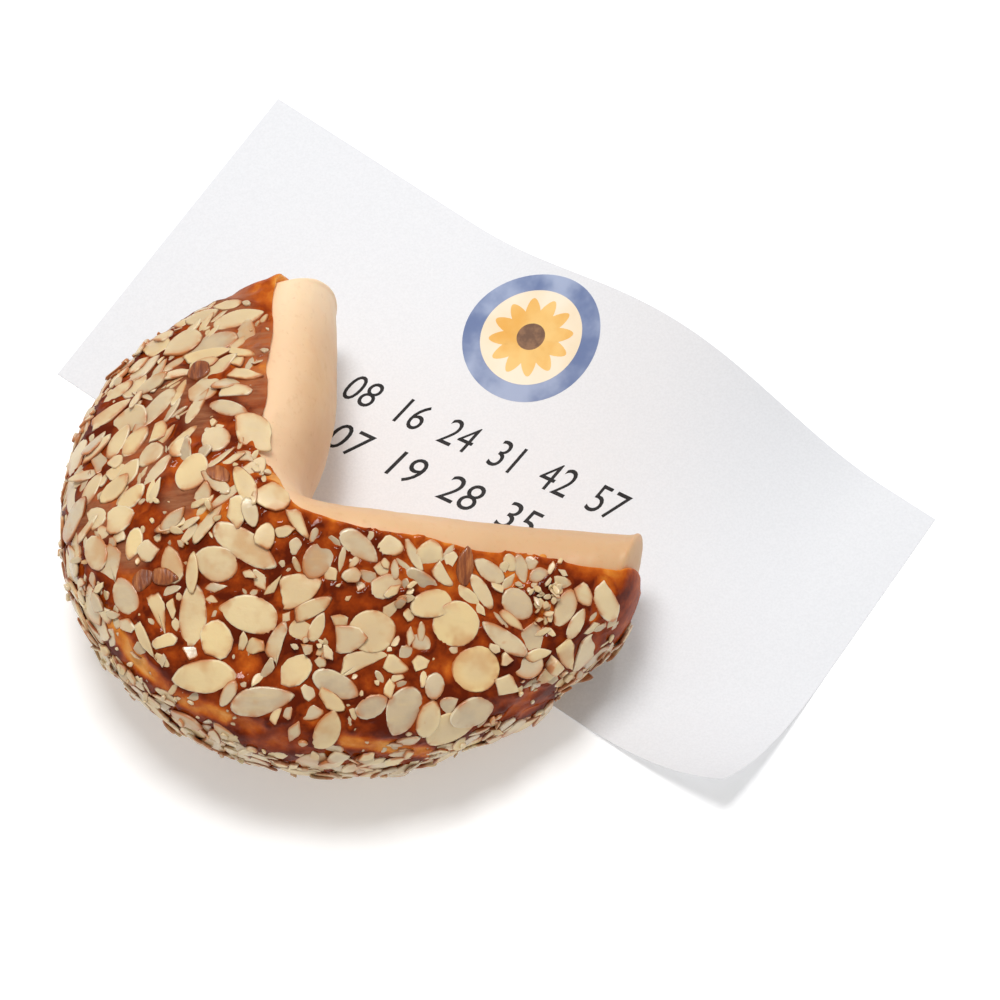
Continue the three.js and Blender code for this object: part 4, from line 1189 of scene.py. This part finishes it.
def make_paper():
    u, v = grid(np.linspace(0, SLIP_LENGTH, PAPER_COLUMNS + 1), np.linspace(0, SLIP_WIDTH, PAPER_ROWS + 1))
    low, high = slip_point(u, v, 0.0) + SHIFT, slip_point(u, v, SLIP_THICKNESS) + SHIFT
    count = u.size
    i, j = grid(np.arange(PAPER_COLUMNS), np.arange(PAPER_ROWS))
    here = (i * (PAPER_ROWS + 1) + j).ravel()
    right, across = here + PAPER_ROWS + 1, here + 1
    both = right + 1
    faces = [*np.stack([here, right, both, across], -1)]
    faces += [*np.stack([here, across, both, right], -1) + count]
    number = np.arange(count).reshape(u.shape)
    border = np.concatenate([number[:-1, 0], number[-1, :-1], number[:0:-1, -1], number[0, :0:-1]])
    following = np.roll(border, -1)
    faces += [*np.stack([border, border + count, following + count, following], -1)]
    vertices = np.concatenate([low.reshape(-1, 3), high.reshape(-1, 3)])
    piece = add_object("paper", vertices, faces)
    sharp = piece.data.attributes.new("sharp_edge", "BOOLEAN", "EDGE")
    rim = set(map(int, border)) | set(int(k) + count for k in border)
    flags = [edge.vertices[0] in rim and edge.vertices[1] in rim for edge in piece.data.edges]
    sharp.data.foreach_set("value", flags)
    return piece


def paper_spot(x, y):
    """Where on the paper the picture's place lies: lengthwise and crosswise."""
    u, v = grid(np.linspace(0, SLIP_LENGTH, PLACE_COLUMNS), np.linspace(0, SLIP_WIDTH, PLACE_ROWS))
    seen = to_picture(slip_point(u, v, SLIP_THICKNESS) + SHIFT)
    nearest = np.argmin(np.hypot(seen[..., 0] - x, seen[..., 1] - y))
    return np.array([u.ravel()[nearest], v.ravel()[nearest]])


def lay_print(name, flat):
    """Lays a flat mesh, drawn in millimetres along and up the paper, on its upper side."""
    vertices, faces = flat
    points = slip_point(vertices[:, 0], -vertices[:, 1], SLIP_THICKNESS + vertices[:, 2]) + SHIFT
    return add_object(name, points, faces, smooth_faces=False)


def plate(outline, low, high):
    """A flat-sided plate over an outline that runs counterclockwise, cut into short facets."""
    count = len(outline)
    centre = outline.mean(0)
    ring_count = max(2, round(np.linalg.norm(outline - centre, axis=1).max() / FACET))
    rings = [centre + (outline - centre) * (k + 1) / ring_count for k in range(ring_count)]
    top = [[*centre, high]] + [[*p, high] for ring in rings for p in ring]
    vertices = top + [[x, y, low] for x, y, _ in top]
    under = len(top)
    faces = []
    for k in range(count):
        after = (k + 1) % count
        faces += [(0, 1 + k, 1 + after), (under, under + 1 + after, under + 1 + k)]
        a, b = 1 + k, 1 + after
        for _ in range(ring_count - 1):
            quad = (a, a + count, b + count, b)
            faces += [quad, tuple(under + corner for corner in quad[::-1])]
            a, b = a + count, b + count
        faces.append((a, under + a, under + b, b))
    return np.array(vertices, float), faces


def joined(parts):
    vertices, faces, start = [], [], 0
    for part_vertices, part_faces in parts:
        vertices.append(part_vertices)
        faces += [tuple(start + k for k in face) for face in part_faces]
        start += len(part_vertices)
    return np.concatenate(vertices), faces


def left_of(way):
    return np.array([-way[1], way[0]])


# The type: its capitals' share of its size, its slant, how much thinner it is, and steps to a curve.
CAPITAL_SHARE, SLANT, THINNING, CURVE_STEPS = 0.72, 0.32, -0.04, 4
SAME_PLACE, LONGEST_EDGE = 1e-4, 2.5
NUMBER_HEIGHT = 9.5
# Each row: its numbers, and where its foot starts and ends, in millimetres along and up the paper.
NUMBER_ROWS = [("08  16  24  31  42  57", (74.6, -69.8), (167.6, -56.8)),
               ("07  19  28  35", (79.6, -85.3), (148.6, -75.3))]


def number_row(text, start, end):
    """A row of plain slanted numbers from one place on the paper to another."""
    curve = bpy.data.curves.new("numbers", "FONT")
    curve.body = text
    curve.size = NUMBER_HEIGHT / CAPITAL_SHARE
    curve.shear = SLANT
    curve.extrude = PRINT_DEPTH / 2
    curve.offset = THINNING
    curve.resolution_u = CURVE_STEPS
    letters = bpy.data.objects.new("numbers", curve)
    bpy.context.scene.collection.objects.link(letters)
    bpy.context.view_layer.update()
    mesh = bpy.data.meshes.new_from_object(letters.evaluated_get(bpy.context.evaluated_depsgraph_get()))
    bpy.data.objects.remove(letters)
    bpy.data.curves.remove(curve)
    work = bmesh.new()
    work.from_mesh(mesh)
    bmesh.ops.remove_doubles(work, verts=work.verts, dist=SAME_PLACE)
    bmesh.ops.triangulate(work, faces=work.faces)
    for _ in range(2):
        long_edges = [edge for edge in work.edges if edge.calc_length() > LONGEST_EDGE]
        bmesh.ops.subdivide_edges(work, edges=long_edges, cuts=1)
        bmesh.ops.triangulate(work, faces=work.faces)
    vertices = np.array([vertex.co for vertex in work.verts])
    faces = [tuple(vertex.index for vertex in face.verts) for face in work.faces]
    work.free()
    bpy.data.meshes.remove(mesh)
    length = np.linalg.norm(end - start)
    way = (end - start) / length
    x = (vertices[:, 0] - vertices[:, 0].min()) * (length / np.ptp(vertices[:, 0]))
    flat = start + x[:, None] * way + vertices[:, 1, None] * left_of(way)
    return np.column_stack([flat, vertices[:, 2] + PRINT_DEPTH / 2]), faces


def make_print():
    rows = [number_row(text, np.array(start), np.array(end)) for text, start, end in NUMBER_ROWS]
    lay_print("numbers", joined(rows))


MEDALLION_PLACE, MEDALLION_RADIUS = (531, 336), 20.8
FIELD_SHARE, HEART_RADIUS, CIRCLE_CORNERS = 0.74, 4.3, 72
PETAL_COUNT, PETAL_CORNERS = 12, 20
PETAL_MIDDLE, PETAL_HALF_LENGTH, PETAL_HALF_WIDTH, PETAL_TAPER = 8.2, 4.6, 2.3, 0.25
FIELD_TOP, PETAL_TOP, HEART_TOP = 1.5 * PRINT_DEPTH, 2 * PRINT_DEPTH, 2.6 * PRINT_DEPTH


def make_medallion():
    """A plain rosette inside a ring, where the paper has a round ornament."""
    centre = paper_spot(*MEDALLION_PLACE) * [1, -1]
    circle = on_circle(outline_angles(CIRCLE_CORNERS))
    angle = outline_angles(PETAL_CORNERS)
    outward = PETAL_MIDDLE + PETAL_HALF_LENGTH * np.cos(angle)
    sideways = PETAL_HALF_WIDTH * np.sin(angle) * (1 - PETAL_TAPER * np.cos(angle))
    ways = [unit(360 / PETAL_COUNT * k) for k in range(PETAL_COUNT)]
    petals = [plate(centre + (np.outer(outward, way) + np.outer(sideways, left_of(way))), 0, PETAL_TOP)
              for way in ways]
    disc = centre + circle * MEDALLION_RADIUS
    field = centre + circle * MEDALLION_RADIUS * FIELD_SHARE
    lay_print("medallion_ring", plate(disc, 0, PRINT_DEPTH))
    lay_print("medallion_field", plate(field, 0, FIELD_TOP))
    lay_print("medallion_petals", joined(petals))
    lay_print("medallion_heart", plate(centre + circle * HEART_RADIUS, 0, HEART_TOP))


# ------------------------------------------------------------------ materials
def linear(red, green, blue):
    """A linear colour from one in the usual 0 to 255 steps."""
    values = np.array([red, green, blue]) / 255
    values = np.where(values <= 0.04045, values / 12.92, ((values + 0.055) / 1.055) ** 2.4)
    return (*values, 1.0)


class Material:
    """A node material round one Principled shader."""

    def __init__(self, name, **settings):
        self.material = bpy.data.materials.new(name)
        self.material.use_nodes = True
        self.tree = self.material.node_tree
        self.shader = next(n for n in self.tree.nodes if n.type == "BSDF_PRINCIPLED")
        self.place = self.add("ShaderNodeTexCoord").outputs["Object"]
        for key, value in settings.items():
            self.shader.inputs[key.replace("_", " ")].default_value = value

    def add(self, kind, **inputs):
        node = self.tree.nodes.new(kind)
        for key, value in inputs.items():
            self.put(node.inputs[key], value)
        return node

    def put(self, socket, value):
        if isinstance(value, bpy.types.NodeSocket):
            self.tree.links.new(value, socket)
        else:
            socket.default_value = value

    def noise(self, per_metre, detail=3.0, roughness=0.5, stretch=None):
        place = self.place
        if stretch is not None:
            place = self.add("ShaderNodeMapping", Vector=place, Scale=stretch).outputs[0]
        return self.add("ShaderNodeTexNoise", Vector=place, Scale=per_metre, Detail=detail,
                        Roughness=roughness).outputs["Fac"]

    def between(self, value, low, high, to_low=0.0, to_high=1.0):
        node = self.add("ShaderNodeMapRange")
        node.interpolation_type = "SMOOTHSTEP"
        for key, entry in zip(("Value", "From Min", "From Max", "To Min", "To Max"),
                              (value, low, high, to_low, to_high)):
            self.put(node.inputs[key], entry)
        return node.outputs["Result"]

    def blend(self, share, first, second):
        node = self.add("ShaderNodeMix")
        node.data_type = "RGBA"
        for key, entry in ((0, share), (6, first), (7, second)):
            self.put(node.inputs[key], entry)
        return node.outputs[2]

    def colours(self, share, first, second):
        """From the first colour to the second, as the share goes from 0 to 1."""
        return self.blend(share, linear(*first), linear(*second))

    def over(self, colour, share, *rgb):
        """The colour with another one over it where the share is high."""
        return self.blend(share, colour, linear(*rgb))

    def reckon(self, how, first, second):
        node = self.add("ShaderNodeMath")
        node.operation = how
        self.put(node.inputs[0], first)
        self.put(node.inputs[1], second)
        return node.outputs[0]

    def times(self, first, second):
        return self.reckon("MULTIPLY", first, second)

    def tint(self):
        """The four numbers that the piece's mesh carries at every point."""
        node = self.add("ShaderNodeAttribute")
        node.attribute_name = "tint"
        parts = self.add("ShaderNodeSeparateColor", Color=node.outputs["Color"]).outputs
        return *parts[:3], node.outputs["Alpha"]

    def ramp(self, value, stops):
        node = self.add("ShaderNodeValToRGB", Fac=value)
        elements = node.color_ramp.elements
        while len(elements) < len(stops):
            elements.new(0.5)
        for element, (place, colour) in zip(elements, stops):
            element.position, element.color = place, linear(*colour)
        return node.outputs[0]

    def bump(self, height, strength, depth):
        node = self.add("ShaderNodeBump", Height=height, Strength=strength, Distance=depth)
        self.tree.links.new(node.outputs[0], self.shader.inputs["Normal"])

    def link(self, name, value):
        self.put(self.shader.inputs[name], value)


def give(piece, made):
    piece.data.materials.clear()
    piece.data.materials.append(made.material)


# Where the biscuit's colour changes, in metres: along x on either arm, and along y at the short tip.
# The long arm is painted darker, as painted shade, and the short arm and its tip lighter, as painted
# light, evening out how the lamps fall on the two arms.
LONG_ARM_SHADE_REACH, SHORT_ARM_LIGHT_REACH, SHORT_TIP_LIGHT_REACH = (-0.045, 0.02), (-0.05, -0.06), (0.0, 0.035)


def biscuit_material():
    made = Material("baked_biscuit", Roughness=0.5, Subsurface_Weight=0.12, Subsurface_Scale=0.002)
    broad, fine = made.noise(28.0, 3.0), made.noise(300.0, 4.0, 0.6)
    colour = made.ramp(made.between(broad, 0.3, 0.7), [
        (0.0, (222, 176, 128)), (0.55, (228, 186, 140)), (1.0, (234, 194, 150))])
    x, y, _ = made.add("ShaderNodeSeparateXYZ", Vector=made.place).outputs
    # Painted shade on the long arm; painted light on the short arm and on its tip.
    colour = made.over(colour, made.between(x, *LONG_ARM_SHADE_REACH), 214, 170, 124)
    colour = made.over(colour, made.between(x, *SHORT_ARM_LIGHT_REACH), 242, 204, 162)
    colour = made.over(colour, made.between(y, *SHORT_TIP_LIGHT_REACH), 252, 222, 184)
    colour = made.over(colour, made.times(made.between(fine, 0.55, 0.8), 0.35), 206, 152, 100)
    pits = made.between(made.noise(900.0, 2.0), 0.66, 0.74)
    made.link("Base Color", made.over(colour, made.times(pits, 0.25), 205, 150, 100))
    made.bump(made.reckon("SUBTRACT", fine, made.times(pits, 0.7)), 0.25, 0.0004)
    return made


def caramel_material():
    """Its tint holds the caramel's depth, its painted sheen, and how thin it has run, which along the lit
    rim ridges is a painted highlight.
    """
    made = Material("glossy_caramel", IOR=1.4, Specular_IOR_Level=0.0, Subsurface_Weight=0.06,
                    Subsurface_Scale=0.003, Subsurface_Radius=(1.0, 0.35, 0.1),
                    Coat_Weight=0.26, Coat_Roughness=0.06)
    depth, painted_sheen, thin_and_highlit, _ = made.tint()
    cloud, broad = made.noise(110.0, 4.0, 0.6), made.noise(38.0, 2.0)
    for waves, middle, strength in ((cloud, 0.46, 1.3), (broad, 0.5, 0.45)):
        depth = made.reckon("ADD", depth, made.times(made.reckon("SUBTRACT", waves, middle), strength))
    # Lighter where the caramel is thin, and as a painted highlight along the lit ridges of the lower rim.
    depth = made.reckon("SUBTRACT", depth, made.times(thin_and_highlit, 0.5))
    colour = made.ramp(depth, [(0.0, (232, 160, 82)), (0.2, (216, 126, 42)), (0.42, (188, 88, 22)),
                               (0.66, (148, 56, 8)), (0.92, (94, 26, 1))])
    # Painted sheen: milky streaks of painted reflection laid into the colour where the tint asks for them.
    streaks = made.noise(60.0, 5.0, 0.65, stretch=(1.0, 9.0, 2.0))
    sheen_share = made.times(painted_sheen, made.between(streaks, 0.35, 0.7, 0.35, 0.9))
    made.link("Base Color", made.over(colour, sheen_share, 164, 106, 72))
    made.link("Roughness", made.between(made.noise(220.0, 2.0), 0.35, 0.7, 0.1, 0.26))
    made.bump(made.reckon("ADD", made.noise(420.0, 3.0), made.times(streaks, 0.6)), 0.4, 0.0007)
    return made


def almond_material():
    """Its tint holds how yellow and how wet a slice is, a random number and how near its edge is."""
    made = Material("flaked_almond", IOR=1.46, Subsurface_Weight=0.15, Subsurface_Scale=0.002,
                    Subsurface_Radius=(1.0, 0.7, 0.4), Coat_Weight=0.15, Coat_Roughness=0.15)
    yellow, wet, random, edge = made.tint()
    colour = made.colours(yellow, (236, 214, 174), (236, 204, 140))
    soaked = made.colours(random, (178, 157, 131), (202, 181, 149))
    middle = made.times(made.between(edge, 0.1, 0.45, 0.5, 0.0), made.between(random, 0.3, 0.8))
    colour = made.over(colour, middle, 206, 180, 142)
    colour = made.over(colour, made.between(made.noise(45.0, 2.0), 0.4, 0.65, 0.0, 0.6), 214, 184, 138)
    patches = made.between(made.noise(150.0, 3.0), 0.35, 0.65, 0.6, 1.0)
    colour = made.blend(made.times(wet, patches), colour, soaked)
    fibres = made.noise(130.0, 4.0, 0.6, stretch=(1.0, 5.0, 1.0))
    colour = made.over(colour, made.times(made.between(fibres, 0.5, 0.75), 0.3), 222, 196, 142)
    # Painted highlight: a light cream rim along the upper edge of most slices.
    rim = made.times(made.between(edge, 0.45, 0.75), made.between(random, 0.75, 0.3))
    colour = made.over(colour, made.times(rim, 0.7), 250, 236, 204)
    smears = made.between(made.noise(190.0, 2.0), 0.72, 0.84, 0.0, 0.5)
    colour = made.over(colour, smears, 196, 112, 42)
    film = made.between(made.noise(75.0, 3.0, 0.6), 0.52, 0.7, 0.0, 0.6)
    colour = made.over(colour, film, 206, 156, 102)
    climbing = made.times(made.between(made.noise(150.0, 3.0), 0.44, 0.58), made.between(edge, 0.2, 0.62))
    colour = made.over(colour, made.times(climbing, 0.85), 192, 112, 52)
    # Brown along the slices' edges, in patches: partly the almond's skin and caramel, partly painted shade
    # along the edges.
    brown_edge_patches = made.between(made.noise(95.0, 3.0), 0.42, 0.58, 0.15, 1.0)
    skin_and_shade_edge = made.times(made.between(edge, 0.6, 0.76), made.between(random, 0.2, 0.6, 0.45, 1.0))
    colour = made.over(colour, made.times(skin_and_shade_edge, brown_edge_patches), 140, 66, 20)
    # At each slice's foot, where it meets the caramel: partly caramel, partly painted shade under the edge.
    low = made.between(edge, 0.8, 1.0, 0.0, 0.7)
    made.link("Base Color", made.over(colour, made.times(low, brown_edge_patches), 164, 88, 36))
    made.link("Roughness", made.between(wet, 0.0, 1.0, 0.42, 0.22))
    made.bump(made.reckon("ADD", fibres, made.noise(700.0, 2.0)), 0.2, 0.0004)
    return made


def skin_material():
    made = Material("almond_skin", Roughness=0.4, Coat_Weight=0.3)
    grooves = made.noise(140.0, 4.0, 0.6, stretch=(6.0, 1.0, 1.0))
    made.link("Base Color", made.ramp(made.between(grooves, 0.3, 0.7), [
        (0.0, (112, 50, 14)), (0.5, (150, 78, 28)), (1.0, (184, 112, 56))]))
    made.bump(grooves, 0.6, 0.0008)
    return made


def paper_material():
    made = Material("white_paper", Roughness=0.6)
    fibres = made.noise(1500.0, 4.0, 0.6)
    made.link("Base Color", made.colours(made.between(fibres, 0.3, 0.7), (229, 230, 233), (235, 236, 239)))
    made.bump(fibres, 0.08, 0.0001)
    return made


def print_material(name, first, second, per_metre=60.0):
    made = Material(name, Roughness=0.5, Specular_IOR_Level=0.15)
    mottled = made.between(made.noise(per_metre, 4.0), 0.35, 0.65)
    made.link("Base Color", made.colours(mottled, first, second))
    return made


# ------------------------------------------------------------------ the whole object
DROP_PLACE, DROP_RADIUS = (543, 557), 1.1
DROP_FLATNESS, DROP_NARROWNESS = 0.55, 0.8
DROP_RINGS, DROP_CORNERS = 8, 20
DROP_TINT = [0.18, 0.0, 0.5]


def make_drop(biscuit):
    """A small drop of caramel that ran onto the bare fold."""
    tree = BVHTree.FromPolygons([tuple(vertex.co) for vertex in biscuit.data.vertices],
                                [tuple(face.vertices) for face in biscuit.data.polygons])
    spot, normal = seen_spot(tree, *DROP_PLACE, MM)
    side = np.cross(normal, UP)
    side /= np.linalg.norm(side)
    ahead = np.cross(normal, side)
    turn = outline_angles(DROP_CORNERS)
    height = normal * DROP_RADIUS * DROP_FLATNESS
    points = []
    for k in range(DROP_RINGS):
        lean = math.pi * (k + 0.5) / DROP_RINGS
        width = DROP_RADIUS * math.sin(lean)
        points.extend(spot + np.outer(np.cos(turn) * width, side)
                      + np.outer(np.sin(turn) * width * DROP_NARROWNESS, ahead) + height * math.cos(lean))
    points.extend([spot + height, spot - height])
    drop = add_object("caramel_drop", points, tube_faces(DROP_RINGS, DROP_CORNERS))
    add_tint(drop, np.tile(DROP_TINT, (len(points), 1)))
    return drop


DEEPEST_CARAMEL = 3.4
UPPER_SIDE = MIDDLE_HEIGHT - 12


def dress():
    biscuit = make_biscuit()
    give(biscuit, biscuit_material())
    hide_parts("cookie")
    caramel = Caramel()
    almonds = Almonds(caramel.bed)
    lay_seen(almonds, caramel.bed)
    heap_crumbs(almonds, caramel.bed)
    scatter_slices(almonds, caramel)
    scatter_slivers(almonds, caramel)
    scatter_crumbs(almonds, caramel)
    piece, points, depth = caramel.make(draw_up(caramel, almonds))
    # The two points at the tips lie outside the grid: the aim, which no spot reaches, stands in for them.
    points = np.concatenate([points, np.tile(AIM, (2, 1))])
    upper = points[:, 2] > UPPER_SIDE
    # Painted sheen: a milky painted reflection on the upper side, round the sheen spots.
    painted_sheen = near_spot(points, SHEEN_SPOTS) * upper
    # Thin caramel, and a painted highlight along the lit ridges of the lower rim.
    thin_and_highlit = near_spot(points, THIN_SPOTS + ridge_spots()) * upper
    add_tint(piece, np.column_stack([np.clip(depth / DEEPEST_CARAMEL, 0, 1), painted_sheen, thin_and_highlit]))
    glossy = caramel_material()
    give(piece, glossy)
    give(make_drop(biscuit), glossy)
    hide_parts("caramel_almond_coat")
    nut = almond_material()
    for name in ("almond_slices", "almond_bits"):
        give(almonds.make(name, "almond"), nut)
    give(almonds.make("almond_skins", "almond_skin"), skin_material())


# Each printed piece: its material's name, the two colours that it varies between, and how finely.
PRINTED = {
    "numbers": ("ink", (30, 27, 27), (42, 38, 38), 400.0),
    "medallion_ring": ("ring_blue", (112, 128, 168), (168, 180, 208)),
    "medallion_field": ("field_cream", (244, 226, 196), (250, 236, 214)),
    "medallion_petals": ("petal_gold", (236, 178, 92), (246, 204, 130)),
    "medallion_heart": ("heart_brown", (120, 92, 76), (146, 112, 88), 500.0),
}


def dress_paper():
    paper = make_paper()
    give(paper, paper_material())
    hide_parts("fortune_slip")
    make_print()
    make_medallion()
    for name, look in PRINTED.items():
        give(bpy.data.objects[name], print_material(*look))


# ------------------------------------------------------------------ the studio
DIM_WAY, DIM_FACING, SKY_STRENGTHS = (0.0, -0.5, 0.87), (0.3, 0.95), (0.54, 0.4)
# Each lamp: its name, its place and width in metres, and its watts.
LAMPS = [("softbox", (-0.12, 0.2, 1.36), 0.34, 10.6), ("glint", (0.3, 0.4, 1.15), 0.12, 1.3)]
LAMP_AIM = (0, 0, 0.03)
FLOOR_HALF, FLOOR_DROP, FLOOR_GLOW = 3.0, 1e-4, 0.22
CLIP_START = 0.01


def make_world():
    """White light from all round, a little dimmer from above and in front."""
    world = bpy.data.worlds.new("studio")
    world.use_nodes = True
    nodes, link = world.node_tree.nodes, world.node_tree.links.new
    background = next(node for node in nodes if node.type == "BACKGROUND")
    facing = nodes.new("ShaderNodeVectorMath")
    facing.operation = "DOT_PRODUCT"
    facing.inputs[1].default_value = DIM_WAY
    link(nodes.new("ShaderNodeTexCoord").outputs["Generated"], facing.inputs[0])
    dim = nodes.new("ShaderNodeMapRange")
    dim.interpolation_type = "SMOOTHSTEP"
    for key, value in zip(("From Min", "From Max", "To Min", "To Max"), DIM_FACING + SKY_STRENGTHS):
        dim.inputs[key].default_value = value
    link(facing.outputs["Value"], dim.inputs["Value"])
    link(dim.outputs["Result"], background.inputs["Strength"])
    background.inputs["Color"].default_value = (1.0, 1.0, 1.0, 1.0)
    bpy.context.scene.world = world


def put_in_scene(name, data, place, way):
    """Adds a lamp or camera that looks one way."""
    thing = bpy.data.objects.new(name, data)
    thing.location = place
    thing.rotation_euler = Vector(way).to_track_quat("-Z", "Y").to_euler()
    bpy.context.scene.collection.objects.link(thing)
    return thing


def make_floor():
    mesh = bpy.data.meshes.new("floor")
    ways = ((-1, -1), (1, -1), (1, 1), (-1, 1))
    mesh.from_pydata([(x * FLOOR_HALF, y * FLOOR_HALF, -FLOOR_DROP) for x, y in ways], [], [(0, 1, 2, 3)])
    floor = bpy.data.objects.new("floor", mesh)
    bpy.context.scene.collection.objects.link(floor)
    made = Material("pale_floor", Roughness=0.6, Emission_Color=(1.0, 1.0, 1.0, 1.0),
                    Emission_Strength=FLOOR_GLOW)
    made.link("Base Color", made.colours(made.noise(3.0), (246, 246, 246), (249, 249, 249)))
    give(floor, made)


def light_and_camera():
    scene = bpy.context.scene
    scene.view_settings.view_transform = "Standard"
    make_world()
    for name, place, width, power in LAMPS:
        light = bpy.data.lights.new(name, "AREA")
        light.size = width
        light.energy = power
        put_in_scene(name, light, place, Vector(LAMP_AIM) - Vector(place))
    make_floor()
    camera = bpy.data.cameras.new("camera")
    camera.lens_unit = "FOV"
    camera.angle = 2 * math.atan(PICTURE / 2 / PIXELS_PER_MM / CAMERA_DISTANCE)
    camera.clip_start = CLIP_START
    scene.camera = put_in_scene("camera", camera, EYE * MM, LOOK)


light_and_camera()
dress()
dress_paper()
